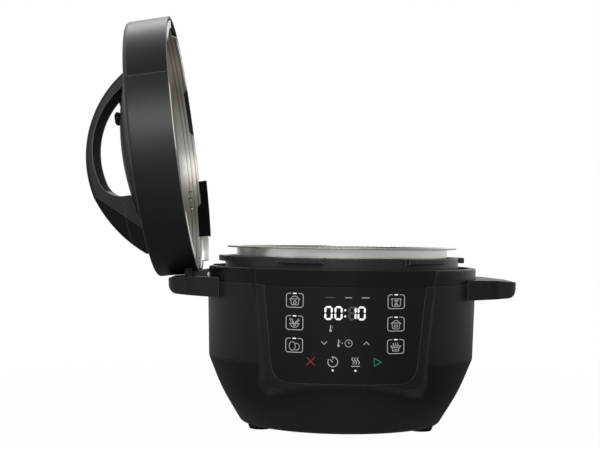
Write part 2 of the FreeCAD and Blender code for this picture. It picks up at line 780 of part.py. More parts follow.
def heating_plate():
    low = LINER_Z + LINER_T
    bore = PROBE_R + SLIDE_CLEAR
    plate = turned([
        (bore, low), (HEATER_R - HEATER_SLANT, low), (HEATER_R, low + HEATER_EDGE_H),
        (HEATER_R, heater_top(), RING_EDGE_R), (bore, heater_top()),
    ])
    half = COIL_ROD_R + COIL_CLEAR
    groove = ring(COIL_R - half, COIL_R + half, low - PAST, low + COIL_ROD_R + half)
    return less(plate, groove)


def heating_rod():
    """Heating rod bent into most of a circle, in its groove under the plate."""
    height = LINER_Z + LINER_T + COIL_ROD_R
    loop = Part.makeTorus(COIL_R, COIL_ROD_R, Vector(0, 0, height), UP, 0, 360, COIL_DEG)
    loop.rotate(Vector(), UP, 90 + (360 - COIL_DEG) / 2)
    return loop


def pot_low():
    """Underside of the inner pot."""
    return heater_top() + CLEAR


def pot_base():
    """Thick base disc of the pot, pressed into its wall."""
    return rod(POT_BASE_R - PRESS_CLEAR, 0, 0, pot_low(), pot_low() + POT_FLOOR_T)


def inner_pot():
    floor = pot_low()
    inside = POT_R - POT_T
    under_rim = POT_RIM_Z - POT_T
    lip_in = POT_RIM_R - POT_T
    return turned([
        (POT_BASE_R, floor), (POT_R, floor, POT_CORNER_R), (POT_R, under_rim),
        (lip_in, under_rim), (lip_in, POT_RIM_Z - POT_LIP), (POT_RIM_R, POT_RIM_Z - POT_LIP),
        (POT_RIM_R, POT_RIM_Z, POT_EDGE_R), (inside, POT_RIM_Z, POT_T),
        (inside, floor + POT_FLOOR_T, POT_CORNER_R - POT_T),
        (POT_BASE_R, floor + POT_FLOOR_T),
    ])


def guide_low():
    return LINER_Z - GUIDE_DROP


def temperature_probe():
    top = heater_top()
    cap_low = top - PROBE_CAP_H
    cap = turned([(0, cap_low), (PROBE_R, cap_low), (PROBE_R, top, RING_EDGE_R), (0, top)])
    stem = rod(PROBE_STEM_R, 0, 0, guide_low() - GUIDE_T, top - PROBE_CAP_H / 2)
    return joined(cap, stem)


def probe_guide():
    """Bracket under the liner in which the probe's stem slides."""
    low = guide_low()
    half, deep = GUIDE_HALF_W, GUIDE_HALF_D
    plate = block(-half, half, -deep, deep, low, low + GUIDE_T)
    legs = [block(x, x + GUIDE_T, -deep, deep, low, LINER_Z) for x in (-half, half - GUIDE_T)]
    return less(joined(plate, *legs), rod(PROBE_STEM_R + SLIDE_CLEAR, 0, 0, 0, LINER_Z))


def probe_spring():
    """Coil spring between the guide and the probe's cap, bent from quarter-turn arcs."""
    low = guide_low() + GUIDE_T + SPRING_WIRE_R + SPRING_SEAT
    high = heater_top() - PROBE_CAP_H - SPRING_WIRE_R - SPRING_SEAT
    pitch = (high - low) / SPRING_TURNS

    def on_coil(turn):
        x, y = on_circle(SPRING_R, 360 * turn)
        return Vector(x, y, low + pitch * turn)

    arcs = []
    for quarter in range(4 * SPRING_TURNS):
        points = [on_coil((quarter + share) / 4) for share in (0, 0.5, 1)]
        arcs.append(Part.Arc(*points).toShape())
    print(f"probe_spring: least gap between turns {pitch - 2 * SPRING_WIRE_R:.2f} mm")
    heading = Vector(0, 2 * math.pi * SPRING_R, pitch)
    section = Part.Wire(Part.makeCircle(SPRING_WIRE_R, on_coil(0), heading))
    return Part.Wire(arcs).makePipeShell([section], True, False)


def cover_screw_places():
    return [on_circle(FLANGE_R + REBATE_W / 2, angle) for angle in (0, 90, 180, 270)]


def post_places():
    x = POWER_HALF_W - POST_IN
    y = POWER_HALF_D - POST_IN
    return [(sx * x, sy * y) for sx in (-1, 1) for sy in (-1, 1)]


def bottom_cover():
    floor_top = BASE_Z + WALL
    rim = rod(FLANGE_R + REBATE_W - CLEAR, 0, 0, BASE_Z, BASE_Z + REBATE_H)
    plug = rod(FLANGE_R - CLEAR, 0, 0, BASE_Z, floor_top)
    slots = []
    for row in range(VENT_ROWS):
        y = (row - (VENT_ROWS - 1) / 2) * VENT_PITCH
        slots.append(block(-VENT_HALF_L, VENT_HALF_L, y - VENT_HALF_W, y + VENT_HALF_W, 0, floor_top))
    posts = [rod(POST_R, x, y, BASE_Z, POWER_BOARD_Z) for x, y in post_places()]
    pilots = [rod(SCREW_R, x, y, floor_top, POWER_BOARD_Z) for x, y in post_places()]
    holes = [rod(SCREW_R + SCREW_CLEAR, x, y, 0, floor_top) for x, y in cover_screw_places()]
    cover = less(joined(rim, plug), *slots)
    return less(joined(cover, *posts), *pilots, *holes)


def power_board():
    top = POWER_BOARD_Z + BOARD_T
    board = block(-POWER_HALF_W, POWER_HALF_W, -POWER_HALF_D, POWER_HALF_D, POWER_BOARD_Z, top)
    holes = [rod(SCREW_R + SCREW_CLEAR, x, y, 0, top) for x, y in post_places()]
    return less(board, *holes)


def on_board(x, y, width, depth, height):
    """Boxed component on the power board, its middle at x, y."""
    low = POWER_BOARD_Z + BOARD_T
    return block(x - width / 2, x + width / 2, y - depth / 2, y + depth / 2, low, low + height)


def relay():
    return on_board(-POWER_HALF_W + RELAY_SIDE, POWER_HALF_D - RELAY_END, *RELAY_SIZE)


def transformer():
    return on_board(POWER_HALF_W - TRANSFORMER_SIDE, POWER_HALF_D - TRANSFORMER_END, *TRANSFORMER_SIZE)


def capacitor():
    low = POWER_BOARD_Z + BOARD_T
    x = -POWER_HALF_W + CAPACITOR_SIDE
    y = -POWER_HALF_D + CAPACITOR_END
    return rod(CAPACITOR_R, x, y, low, low + CAPACITOR_H)


def screw(x, y, seat_z, length, up):
    """Pan-head screw: the head's seat at seat_z, the shank up or down from there."""
    head = turned([(0, 0), (SCREW_HEAD_R, 0), (SCREW_HEAD_R, SCREW_HEAD_H, RING_EDGE_R), (0, SCREW_HEAD_H)])
    whole = joined(head, rod(SCREW_R, 0, 0, -length, 0))
    if up:
        whole.rotate(Vector(), ALONG_X, 180)
    whole.translate(Vector(x, y, seat_z))
    return whole


def board_screws():
    top = POWER_BOARD_Z + BOARD_T
    length = top - BASE_Z - WALL - SCREW_TIP
    return [screw(x, y, top, length, False) for x, y in post_places()]


def cover_screws():
    return [screw(x, y, BASE_Z, WALL + COVER_BOSS_H - SCREW_TIP, True) for x, y in cover_screw_places()]


def rubber_feet():
    feet = []
    for x, y in foot_places():
        pad = turned_at(x, y, [(0, 0), (FOOT_R - FOOT_TAPER, 0, RING_EDGE_R), (FOOT_R, BASE_Z), (0, BASE_Z)])
        feet.append(joined(pad, rod(FOOT_STEM_R, x, y, BASE_Z / 2, BASE_Z + WALL)))
    return feet


def body_round(low, high):
    """Space that the body's upper wall takes, with a clearance."""
    return turned([
        (0, low), (wall_r(low) + CLEAR, low), (wall_r(high) + CLEAR, high), (0, high),
    ])


def side_handle():
    """Right handle: a hollow grip that is open underneath."""
    half, tip, tip_x = HANDLE_HALF_W, HANDLE_TIP_HALF, HANDLE_TIP_X
    low, top = HANDLE_LOW_Z, HANDLE_TOP_Z
    root_x = BODY_R - HANDLE_ROOT
    wide_x = BODY_R + HANDLE_SHOULDER
    taper_half = half - HANDLE_TAPER
    corner = HANDLE_CORNER_R
    plan = [
        (root_x, -half), (wide_x, -taper_half, corner), (tip_x, -tip, corner),
        (tip_x, tip, corner), (wide_x, taper_half, corner), (root_x, half),
    ]
    profile = [
        (root_x, low), (tip_x - HANDLE_LEAN, low + HANDLE_RISE, HANDLE_TIP_R),
        (tip_x, top - HANDLE_SLOPE, HANDLE_LIP_R), (wide_x, top), (root_x, top),
    ]
    grip = raised(plan, low - PAST, top + PAST).common(drawn(profile, -half, half))
    pocket_in = BODY_R + GRIP_WALL
    pocket_tip = tip_x - GRIP_WALL - HANDLE_LEAN
    pocket_half = half - POCKET_END
    pocket_plan = [
        (pocket_in, -pocket_half), (wide_x, -pocket_half, POCKET_R), (pocket_tip, -tip + GRIP_WALL, POCKET_R),
        (pocket_tip, tip - GRIP_WALL, POCKET_R), (wide_x, pocket_half, POCKET_R), (pocket_in, pocket_half),
    ]
    pocket = raised(pocket_plan, 0, GRIP_ROOF_Z)
    return less(grip, body_round(low - PAST, DECK_Z), pocket)


def open_lid_space(gap):
    """Space that the open lid's wall takes, with a gap."""
    solid = turned([
        (0, LID_Z - gap), (LID_R + gap, LID_Z - gap), (SHOULDER_R + gap, over_lid(LID_WALL_H)),
        (0, over_lid(LID_WALL_H)),
    ])
    return opened(solid)


def hinge_sweep():
    """Room that the lid's ears need beside the body."""
    half = NOTCH_HALF_Y + CLEAR
    return block(HINGE_X - SWEEP_OUT, HINGE_X, -half, half, HINGE_Z - SWEEP_LOW, HINGE_Z + SWEEP_HIGH)


def left_handle():
    handle = side_handle().mirror(Vector(), ALONG_X)
    return less(handle, open_lid_space(LID_REST), hinge_sweep())


def rest_pads():
    """Pads on the left handle, beside the open lid's wall."""
    middle = HINGE_X - PAD_OUT
    low = HANDLE_TOP_Z - PAD_SINK
    pads = []
    for y in (-PAD_Y, PAD_Y):
        pad = block(middle - PAD_HALF, middle + PAD_HALF, y - PAD_HALF, y + PAD_HALF, low, low + PAD_H)
        pads.append(less(pad, open_lid_space(CLEAR), side_handle().mirror(Vector(), ALONG_X)))
    return pads


def hinge_bracket():
    half = EAR_IN_Y - CLEAR
    web_low = HINGE_Z - WEB_H
    wall_in = wall_r(web_low) - WALL
    web_out = -math.sqrt(wall_in ** 2 - half ** 2) + CLEAR
    barrel = cross_rod(BARREL_R, HINGE_X, HINGE_Z, -half, half)
    web = block(web_out, web_out + WEB_T, -half, half, web_low, HINGE_Z)
    bore = cross_rod(PIN_R + PRESS_CLEAR, HINGE_X, HINGE_Z, -FAR, FAR)
    return less(joined(barrel, web), bore)


def hinge_pin():
    end = NOTCH_HALF_Y - SEAM_GAP
    return cross_rod(PIN_R, HINGE_X, HINGE_Z, -end, end)


def condensation_cup():
    back = BODY_R + CLEAR
    front = back + CUP_DEPTH
    half, t, corner = CUP_HALF_W, CUP_T, CUP_CORNER_R
    low = CUP_TOP_Z - CUP_H
    plan = [(-half, back), (half, back), (half, front, corner), (-half, front, corner)]
    inside = [
        (-half + t, back + t), (half - t, back + t),
        (half - t, front - t, corner - t), (-half + t, front - t, corner - t),
    ]
    cup = less(raised(plan, low, CUP_TOP_Z), raised(inside, low + t, CUP_TOP_Z + PAST))
    boss_r = PEG_R + PEG_BOSS
    boss_end = back + PEG_REACH + CLEAR
    bosses = [cross_rod(boss_r, x, PEG_Z, back, boss_end + CUP_T) for x in (-PEG_X, PEG_X)]
    holes = [cross_rod(PEG_R + SLIDE_CLEAR, x, PEG_Z, 0, boss_end) for x in (-PEG_X, PEG_X)]
    return less(joined(cup, *bosses), *holes)


def power_inlet():
    face, half, rim = inlet_face_y(), INLET_HALF_W, INLET_RIM
    recess = block(-half + rim, half - rim, face - INLET_DEPTH, FAR, INLET_LOW_Z + rim, INLET_TOP_Z - rim)
    return less(inlet_block(0), recess)


def inlet_pins():
    root = inlet_face_y() - INLET_DEPTH
    middle = (INLET_LOW_Z + INLET_TOP_Z) / 2
    pins = []
    for x, rise in ((-INLET_PIN_X, -INLET_PIN_RISE), (0, INLET_PIN_RISE), (INLET_PIN_X, -INLET_PIN_RISE)):
        z = middle + rise
        pins.append(block(x - INLET_PIN_HALF_W, x + INLET_PIN_HALF_W, root, root + INLET_PIN_L,
                          z - INLET_PIN_HALF_H, z + INLET_PIN_HALF_H))
    return pins


# Lid pieces, closed

def crown_radius():
    """Radius of the ball that the lid's crown is cut from."""
    rise = LID_CROWN_H - CROWN_EDGE_H
    return (CROWN_R ** 2 + rise ** 2) / (2 * rise)


def crown_z(x, y=0.0, drop=0.0):
    """Height of the lid's outer crown, or of a face drawn in from it by a drop."""
    radius = crown_radius()
    return over_lid(LID_CROWN_H) - radius + math.sqrt((radius - drop) ** 2 - x ** 2 - y ** 2)


def lid_inside_r(z):
    """Inner radius of the lid's wall."""
    return LID_R - LID_T - LID_DRAFT * (z - LID_Z) / (LID_WALL_H - LID_T)


def lid_form(drop, low):
    """Solid inside the lid's outer surface, drawn in by a drop and reaching down to a height."""
    wall = LID_R - drop
    shoulder = Vector(SHOULDER_R - drop, 0, over_lid(LID_WALL_H) - drop)
    foot = Vector(wall, 0, LID_Z)
    edge = Vector(CROWN_R, 0, crown_z(CROWN_R, 0, drop))
    between = Vector(CROWN_R / 2, 0, crown_z(CROWN_R / 2, 0, drop))
    top = Vector(0, 0, crown_z(0, 0, drop))
    bend = rounded_corner(foot, shoulder, edge, SHOULDER_FILLET)
    path = [top, Vector(0, 0, low), Vector(wall, 0, low), foot, bend[0]]
    steps = [pair for pair in zip(path, path[1:]) if pair[0].distanceToPoint(pair[1]) > SAME_PLACE]
    lines = [Part.LineSegment(a, b).toShape() for a, b in steps]
    arcs = [
        Part.Arc(*bend).toShape(), Part.LineSegment(bend[2], edge).toShape(),
        Part.Arc(edge, between, top).toShape(),
    ]
    return Part.Face(Part.Wire(lines + arcs)).revolve(Vector(), UP, 360)


def lid_ears():
    ears = []
    for y_low, y_high in ((-EAR_OUT_Y, -EAR_IN_Y), (EAR_IN_Y, EAR_OUT_Y)):
        barrel = cross_rod(BARREL_R, HINGE_X, HINGE_Z, y_low, y_high)
        arm = block(HINGE_X - EAR_OUT, -SKIRT_R, y_low, y_high, HINGE_Z, over_lid(EAR_H))
        arm = less(arm, lid_form(LID_T, LID_Z - PAST), rod(LID_R, 0, 0, 0, LID_Z))
        ears.append(joined(barrel, arm))
    return ears


def cap_span(gap, low, high):
    half = CAP_HALF_DEG + gap
    return arc_ring(CROWN_R, LID_R + PAST, low, high, -half, half)


def lid_posts():
    """Places of the posts under the cover, with their lower and upper ends."""
    plate_top = over_lid(PLATE_H + PLATE_T)
    posts = []
    for angle in POST_DEGS:
        x, y = on_circle(POST_RING_R, angle)
        posts.append((x, y, plate_top, crown_z(x, y) - LID_T / 2))
    return posts


def lid_bore(radius, x, y):
    return rod(radius, x, y, over_lid(BORE_FROM), over_lid(BORE_TO))


def lid_cover():
    shell = less(lid_form(0, LID_Z), lid_form(LID_T, LID_Z - PAST))
    recess = cap_span(CAP_GAP_DEG, LID_Z - PAST, over_lid(LID_WALL_H - CAP_SHORT) + CLEAR)
    shell = less(shell, less(recess, lid_form(CAP_T + CLEAR / 2, LID_Z - PAST)))
    shell = joined(shell, *lid_ears(), *[rod(COVER_POST_R, *post) for post in lid_posts()])
    bores = [
        cross_rod(PIN_R + PIN_CLEAR, HINGE_X, HINGE_Z, -FAR, FAR),
        lid_bore(PIPE_R + PIPE_ROOM, VALVE_X, 0),
        lid_bore(FLOAT_R + VALVE_CLEAR, FLOAT_X, FLOAT_Y),
        lid_bore(BUTTON_R + VALVE_CLEAR, BUTTON_X, 0),
    ]
    screw_holes = [rod(SCREW_R, x, y, low - LID_T, low + LID_SCREW_L) for x, y, low, high in lid_posts()]
    return less(shell, *bores, *screw_holes)


def rim_cap():
    """Front segment of the rim, a separate moulding."""
    band = less(lid_form(-CAP_PROUD, LID_Z), lid_form(CAP_T, LID_Z - PAST))
    return band.common(cap_span(-CAP_GAP_DEG, LID_Z, over_lid(LID_WALL_H - CAP_SHORT)))


def pressure_plate():
    low = over_lid(PLATE_H)
    top = low + PLATE_T
    rise, bend, inside = PLATE_RISE, PLATE_BEND_R, PLATE_R - PLATE_T
    step_out = PLATE_STEP_R + PLATE_STEP_W
    rim_low = low - PLATE_RIM_DROP
    plate = turned([
        (0, low + rise), (PLATE_STEP_R, low + rise, bend), (step_out, low, bend),
        (inside, low, PLATE_T), (inside, rim_low), (PLATE_R, rim_low), (PLATE_R, top, 2 * PLATE_T),
        (step_out, top, bend), (PLATE_STEP_R, top + rise, bend), (0, top + rise),
    ])
    pipe_hole = rod(PIPE_R + PRESS_CLEAR, VALVE_X, 0, 0, FAR)
    float_hole = rod(FLOAT_R + PIPE_ROOM, FLOAT_X, FLOAT_Y, 0, FAR)
    screw_holes = [rod(SCREW_R + SCREW_CLEAR, x, y, 0, FAR) for x, y, _, _ in lid_posts()]
    return less(plate, pipe_hole, float_hole, *screw_holes)


def ring_notch():
    """Notch in the locking ring between two lugs, with leaning ends."""
    half = SKIRT_R * math.sin(math.radians(NOTCH_DEG / 2))
    low = LID_Z - PAST
    top = over_lid(NOTCH_H)
    points = [
        (-half, low), (half, low), (half, LID_Z), (half - NOTCH_SLANT, top),
        (-half + NOTCH_SLANT, top), (-half, LID_Z),
    ]
    notch = drawn(points, SKIRT_LUG_R, SKIRT_OUT + PAST)
    notch.rotate(Vector(), UP, -90)
    return notch


def locking_ring():
    top = over_lid(PLATE_H + PLATE_T + CLEAR)
    flange_r = SKIRT_R - SKIRT_FLANGE_W
    wall = turned([
        (SKIRT_R, LID_Z), (SKIRT_OUT, LID_Z), (SKIRT_OUT, top + SKIRT_T, SKIRT_T),
        (flange_r, top + SKIRT_T), (flange_r, top), (SKIRT_R, top),
    ])
    root = SKIRT_R + SKIRT_T / 2
    half = SKIRT_LUG_DEG / 2
    lug = arc_ring(SKIRT_LUG_R, root, LID_Z, LID_Z + SKIRT_LUG_T, -half, half)
    wall = less(wall, *spread(ring_notch(), LUG_COUNT, LUG_PHASE_DEG))
    return joined(wall, *spread(lug, LUG_COUNT, LUG_PHASE_DEG + LOCK_DEG))


def guard_arc(drop, start, end):
    """Guard riveted outside the locking ring, reaching past the lid's edge by a drop."""
    return arc_ring(SKIRT_OUT + PRESS_CLEAR, GUARD_R, LID_Z - drop, over_lid(BAND_BACK), start, end)


def ring_rivets():
    rivets = []
    for angle in RIVET_DEGS:
        head = turned([(0, 0), (RIVET_R, 0), (RIVET_R, RIVET_H / 2), (RIVET_R / 2, RIVET_H), (0, RIVET_H)])
        head.rotate(Vector(), ALONG_Y, -90)
        sag = SKIRT_R - math.sqrt(SKIRT_R ** 2 - RIVET_R ** 2)
        head.translate(Vector(SKIRT_R - sag - PRESS_CLEAR, 0, over_lid(RIVET_LIFT)))
        head.rotate(Vector(), UP, angle)
        rivets.append(head)
    return rivets


def slide_ring():
    """Ring on the lid's wall that keeps the locking ring in the middle."""
    low = over_lid(SLIDE_RING_LIFT)
    top = low + SLIDE_RING_H
    out = lid_inside_r(top) - PRESS_CLEAR
    return ring(out - SLIDE_RING_T, out, low, top)


def sealing_ring():
    low = POT_RIM_Z + CLEAR
    top = over_lid(PLATE_H) - PRESS_CLEAR
    lip = SEAL_LIP
    inside, outside = POT_R - lip, POT_RIM_R + lip
    return turned([
        (inside, low + lip), (inside + lip, low), (outside - lip, low), (outside, low + lip),
        (outside - lip / 2, low + 2 * lip), (outside, top - lip), (outside - lip, top),
        (inside + lip, top), (inside, top - lip),
    ])


def seal_rack():
    """Wire ring that holds the seal against the plate."""
    top = over_lid(PLATE_H)
    wire_r = POT_R - RACK_IN - SEAL_LIP
    low = top - RACK_DROP
    flat = RACK_WIRE_R - RACK_BEVEL
    hoop = turned([
        (wire_r - flat, low - RACK_WIRE_R), (wire_r + flat, low - RACK_WIRE_R),
        (wire_r + RACK_WIRE_R, low - flat), (wire_r + RACK_WIRE_R, low + flat),
        (wire_r + flat, low + RACK_WIRE_R), (wire_r - flat, low + RACK_WIRE_R),
        (wire_r - RACK_WIRE_R, low + flat), (wire_r - RACK_WIRE_R, low - flat),
    ])
    half = RACK_WIRE_R / 2
    clip = block(wire_r - half, wire_r + half, -RACK_CLIP_HALF, RACK_CLIP_HALF, low, top)
    return joined(hoop, *spread(clip, RACK_CLIPS, 360.0 / RACK_CLIPS / 2))


def raised_top():
    """Upper side of the plate's raised middle."""
    return over_lid(PLATE_H + PLATE_T + PLATE_RISE)


def raised_low():
    """Underside of the plate's raised middle."""
    return over_lid(PLATE_H + PLATE_RISE)


def vent_pipe():
    low = raised_low() - PIPE_IN
    pipe = rod(PIPE_R, VALVE_X, 0, low, crown_z(VALVE_X) + PIPE_OUT)
    collar = rod(PIPE_R + COLLAR_W, VALVE_X, 0, raised_top(), raised_top() + COLLAR_H)
    return less(joined(pipe, collar), rod(PIPE_BORE_R, VALVE_X, 0, 0, FAR))


def steam_valve():
    """Weighted valve that sits on the vent pipe."""
    low = crown_z(VALVE_X - VALVE_R) + VALVE_SEAT
    top = low + VALVE_H
    knob = turned_at(VALVE_X, 0, [
        (0, low), (VALVE_R - VALVE_TAPER / 2, low), (VALVE_R, low + VALVE_WAIST),
        (VALVE_R - VALVE_TAPER, top, RING_EDGE_R), (0, top),
    ])
    socket = rod(PIPE_R + VALVE_CLEAR, VALVE_X, 0, 0, crown_z(VALVE_X) + PIPE_OUT + CLEAR)
    return less(knob, socket)


def block_shield():
    """Cage under the plate that keeps food out of the vent pipe."""
    top = raised_low() - PRESS_CLEAR
    low = top - SHIELD_H
    inside = SHIELD_R - SHIELD_T
    cup = turned([
        (0, low), (SHIELD_R, low, 2 * SHIELD_T), (SHIELD_R, top), (inside, top),
        (inside, low + SHIELD_T, SHIELD_T), (0, low + SHIELD_T),
    ])
    slot_low = low + 2 * SHIELD_T
    slot = block(0, FAR, -SHIELD_SLOT_HALF, SHIELD_SLOT_HALF, slot_low, slot_low + SHIELD_SLOT_H)
    cage = less(cup, *spread(slot, 2 * SHIELD_SLOTS))
    cage.translate(Vector(VALVE_X, 0, 0))
    return cage


def float_valve():
    top = crown_z(FLOAT_X, FLOAT_Y) - FLOAT_SINK
    seat = raised_low()
    foot_top = seat - FLOAT_DROP
    pin = rod(FLOAT_R, FLOAT_X, FLOAT_Y, seat, top)
    stem = rod(FLOAT_STEM_R, FLOAT_X, FLOAT_Y, foot_top, seat + PLATE_T)
    foot = rod(FLOAT_R + FLOAT_FOOT_W, FLOAT_X, FLOAT_Y, foot_top - FLOAT_FOOT_H, foot_top)
    return joined(pin, stem, foot)


def float_seal():
    """Silicone collar on the float's stem, under the plate."""
    top = raised_low() - PRESS_CLEAR
    collar = rod(FLOAT_R + FLOAT_SEAL_W, FLOAT_X, FLOAT_Y, top - FLOAT_SEAL_H, top)
    return less(collar, rod(FLOAT_STEM_R + VALVE_CLEAR, FLOAT_X, FLOAT_Y, 0, FAR))


def button_low():
    """Lower end of the steam button."""
    return raised_top() + BUTTON_LOW


def release_button():
    top = crown_z(BUTTON_X) + BUTTON_OUT
    low = button_low()
    return turned_at(BUTTON_X, 0, [(0, low), (BUTTON_R, low), (BUTTON_R, top, RING_EDGE_R), (0, top)])


def button_seat():
    """Stop below the button, standing on the plate."""
    top = button_low() - BUTTON_TRAVEL - CLEAR
    return rod(BUTTON_R - CLEAR, BUTTON_X, 0, raised_top(), top)


def side_point(point):
    """An (x, height over the lid's edge) point of the handle's side view."""
    return Vector(point[0], 0, over_lid(point[1]))


def closed_down(edges, first, last):
    """Side view bounded above by edges from first to last, and closed below inside the lid."""
    low = over_lid(GRIP_FOOT_H)
    path = [last, Vector(last.x, 0, low), Vector(first.x, 0, low), first]
    sides = [Part.LineSegment(a, b).toShape() for a, b in zip(path, path[1:])]
    return Part.Face(Part.Wire(edges + sides))


def arch_side():
    """Side view of the whole handle, arch and rear mount together."""
    front, top, rear = side_point(ARCH_FRONT), side_point(ARCH_TOP), side_point(ARCH_REAR)
    return closed_down([Part.Arc(front, top, rear).toShape()], front, rear)


def grip_side(margin):
    """Side view of the finger opening under the arch, larger by a margin."""
    front = side_point(GRIP_FRONT) + Vector(margin, 0, 0)
    top = side_point(GRIP_TOP) + Vector(0, 0, margin)
    back = side_point(GRIP_BACK) + Vector(0, 0, margin)
    bend = side_point(GRIP_BEND) + Vector(-margin, 0, margin) * math.sqrt(0.5)
    heel = side_point(GRIP_HEEL) + Vector(-margin, 0, 0)
    arcs = [Part.Arc(front, top, back).toShape(), Part.Arc(back, bend, heel).toShape()]
    return closed_down(arcs, front, heel)


def across(face, half):
    """A side view drawn across the lid."""
    copy = face.copy()
    copy.translate(Vector(0, -half, 0))
    return copy.extrude(Vector(0, 2 * half, 0))


def insert_span(gap):
    """Length of the arch that the grip's lining takes."""
    half = INSERT_HALF_W + gap
    low = over_lid(INSERT_LOW_H) - gap
    return block(INSERT_REAR_X - gap, INSERT_FRONT_X + gap, -half, half, low, FAR)


def lining(gap):
    """Layer along the finger opening's roof."""
    whole = less(across(grip_side(INSERT_T + gap), FAR), across(grip_side(0), FAR))
    return whole.common(insert_span(gap))


def prow_cut(side):
    """Slanted cut that narrows the rear of the handle towards the rim."""
    y = side * ARCH_HALF_W
    first = side_point(PROW_HIGH) + Vector(0, y, 0)
    second = side_point(PROW_LOW) + Vector(0, y, 0)
    third = side_point(PROW_TIP)
    normal = (second - first).cross(third - first).normalize()
    if normal.z < 0:
        normal = normal * -1
    cutter = Part.makeBox(FAR, FAR, FAR, Vector(-FAR / 2, -FAR / 2, 0))
    cutter.Placement = FreeCAD.Placement(first, FreeCAD.Rotation(UP, normal)).multiply(cutter.Placement)
    return cutter


def whole_arch():
    solid = across(arch_side(), ARCH_HALF_W)
    edges = []
    for edge in solid.Edges:
        middle = middle_of(edge)
        if abs(abs(middle.y) - ARCH_HALF_W) < NEAR and middle.z > over_lid(ARCH_FILLET_FROM):
            edges.append(edge)
    solid = solid.makeFillet(ARCH_FILLET, edges)
    crown = lid_form(-CROWN_GAP, LID_Z)
    return less(solid, across(grip_side(0), FAR), crown, prow_cut(-1), prow_cut(1))


def mount_space(gap):
    """Rear foot of the handle, below the arch."""
    return block(-FAR, GRIP_HEEL[0] + CLEAR, -FAR, FAR, 0, over_lid(MOUNT_H) + gap)


def lid_handle(arch):
    return less(arch, mount_space(MOUNT_SEAM / 2), lining(CROWN_GAP))


def handle_mount(arch):
    return arch.common(mount_space(-MOUNT_SEAM / 2))


def grip_insert():
    """Lining of the grip, flush with the finger opening."""
    return lining(0)


def lid_screws():
    length = PLATE_T + LID_SCREW_L - SCREW_TIP
    return [screw(x, y, over_lid(PLATE_H), length, True) for x, y, _, _ in lid_posts()]


def build():
    os.makedirs("parts", exist_ok=True)
    outer = outer_form()
    save("base_housing", base_housing(outer, inner_form()))
    save("top_ring", top_ring(outer))
    save("bottom_cover", bottom_cover())
    save("rubber_feet", *rubber_feet())
    save("right_handle", side_handle())
    save("left_handle", left_handle())
    save("lid_rest_pads", *rest_pads())
    save("touch_panel", overlay_slab(0, FACE_R - OVERLAY_T, FACE_R + OVERLAY_PROUD))
    save("control_board", control_board())
    save("display_module", display_block(0, -FACE_R + OVERLAY_T + DISPLAY_BACK))
    save("bayonet_ring", bayonet_ring())
    save("liner", liner())
    save("liner_floor", liner_floor())
    save("drain_spout", drain_spout())
    save("heating_plate", heating_plate())
    save("heating_rod", heating_rod())
    save("temperature_probe", temperature_probe())
    save("probe_guide", probe_guide())
    save("probe_spring", probe_spring())
    save("inner_pot", inner_pot())
    save("pot_base", pot_base())
    save("power_board", power_board())
    save("relay", relay())
    save("transformer", transformer())
    save("capacitor", capacitor())
    save("power_inlet", power_inlet())
    save("inlet_pins", *inlet_pins())
    save("condensation_cup", condensation_cup())
    save("hinge_bracket", hinge_bracket())
    save("hinge_pin", hinge_pin())
    save("board_screws", *board_screws())
    save("cover_screws", *cover_screws())
    arch = whole_arch()
    lid_pieces = {
        "lid_cover": [lid_cover()],
        "rim_cap": [rim_cap()],
        "pressure_plate": [pressure_plate()],
        "locking_ring": [locking_ring()],
        "ring_guard": [guard_arc(BAND_DROP, BAND_START_DEG, BAND_END_DEG)],
        "guard_tail": [guard_arc(TAIL_DROP, BAND_END_DEG, TAIL_END_DEG)],
        "ring_rivets": ring_rivets(),
        "slide_ring": [slide_ring()],
        "sealing_ring": [sealing_ring()],
        "seal_rack": [seal_rack()],
        "vent_pipe": [vent_pipe()],
        "steam_valve": [steam_valve()],
        "block_shield": [block_shield()],
        "float_valve": [float_valve()],
        "float_seal": [float_seal()],
        "release_button": [release_button()],
        "button_seat": [button_seat()],
        "lid_handle": [lid_handle(arch)],
        "handle_mount": [handle_mount(arch)],
        "grip_insert": [grip_insert()],
        "lid_screws": lid_screws(),
    }
    for name, solids in lid_pieces.items():
        save(name, *[opened(solid) for solid in solids])


build()
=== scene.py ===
import json
import math

import bmesh
import bpy
from mathutils import Matrix, Vector


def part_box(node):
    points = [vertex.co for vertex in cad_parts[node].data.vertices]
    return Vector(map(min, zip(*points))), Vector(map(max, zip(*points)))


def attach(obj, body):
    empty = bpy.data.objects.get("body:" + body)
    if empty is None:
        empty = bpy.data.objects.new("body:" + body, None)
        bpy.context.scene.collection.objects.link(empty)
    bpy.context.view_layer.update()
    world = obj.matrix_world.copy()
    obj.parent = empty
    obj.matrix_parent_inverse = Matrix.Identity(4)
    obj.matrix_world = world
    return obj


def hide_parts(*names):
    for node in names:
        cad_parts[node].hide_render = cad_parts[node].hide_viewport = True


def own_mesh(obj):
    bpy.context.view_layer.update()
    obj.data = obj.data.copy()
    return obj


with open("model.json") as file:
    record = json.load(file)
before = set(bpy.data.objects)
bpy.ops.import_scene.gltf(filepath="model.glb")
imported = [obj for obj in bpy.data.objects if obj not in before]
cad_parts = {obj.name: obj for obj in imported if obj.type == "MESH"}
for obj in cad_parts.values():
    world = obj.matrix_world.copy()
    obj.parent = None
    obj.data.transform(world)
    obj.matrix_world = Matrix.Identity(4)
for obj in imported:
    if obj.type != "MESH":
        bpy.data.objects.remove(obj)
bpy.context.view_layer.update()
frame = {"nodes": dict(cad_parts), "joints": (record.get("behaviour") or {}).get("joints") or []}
nodes = frame["nodes"]
joints = {joint["name"]: joint for joint in frame["joints"]}
MM = 0.001

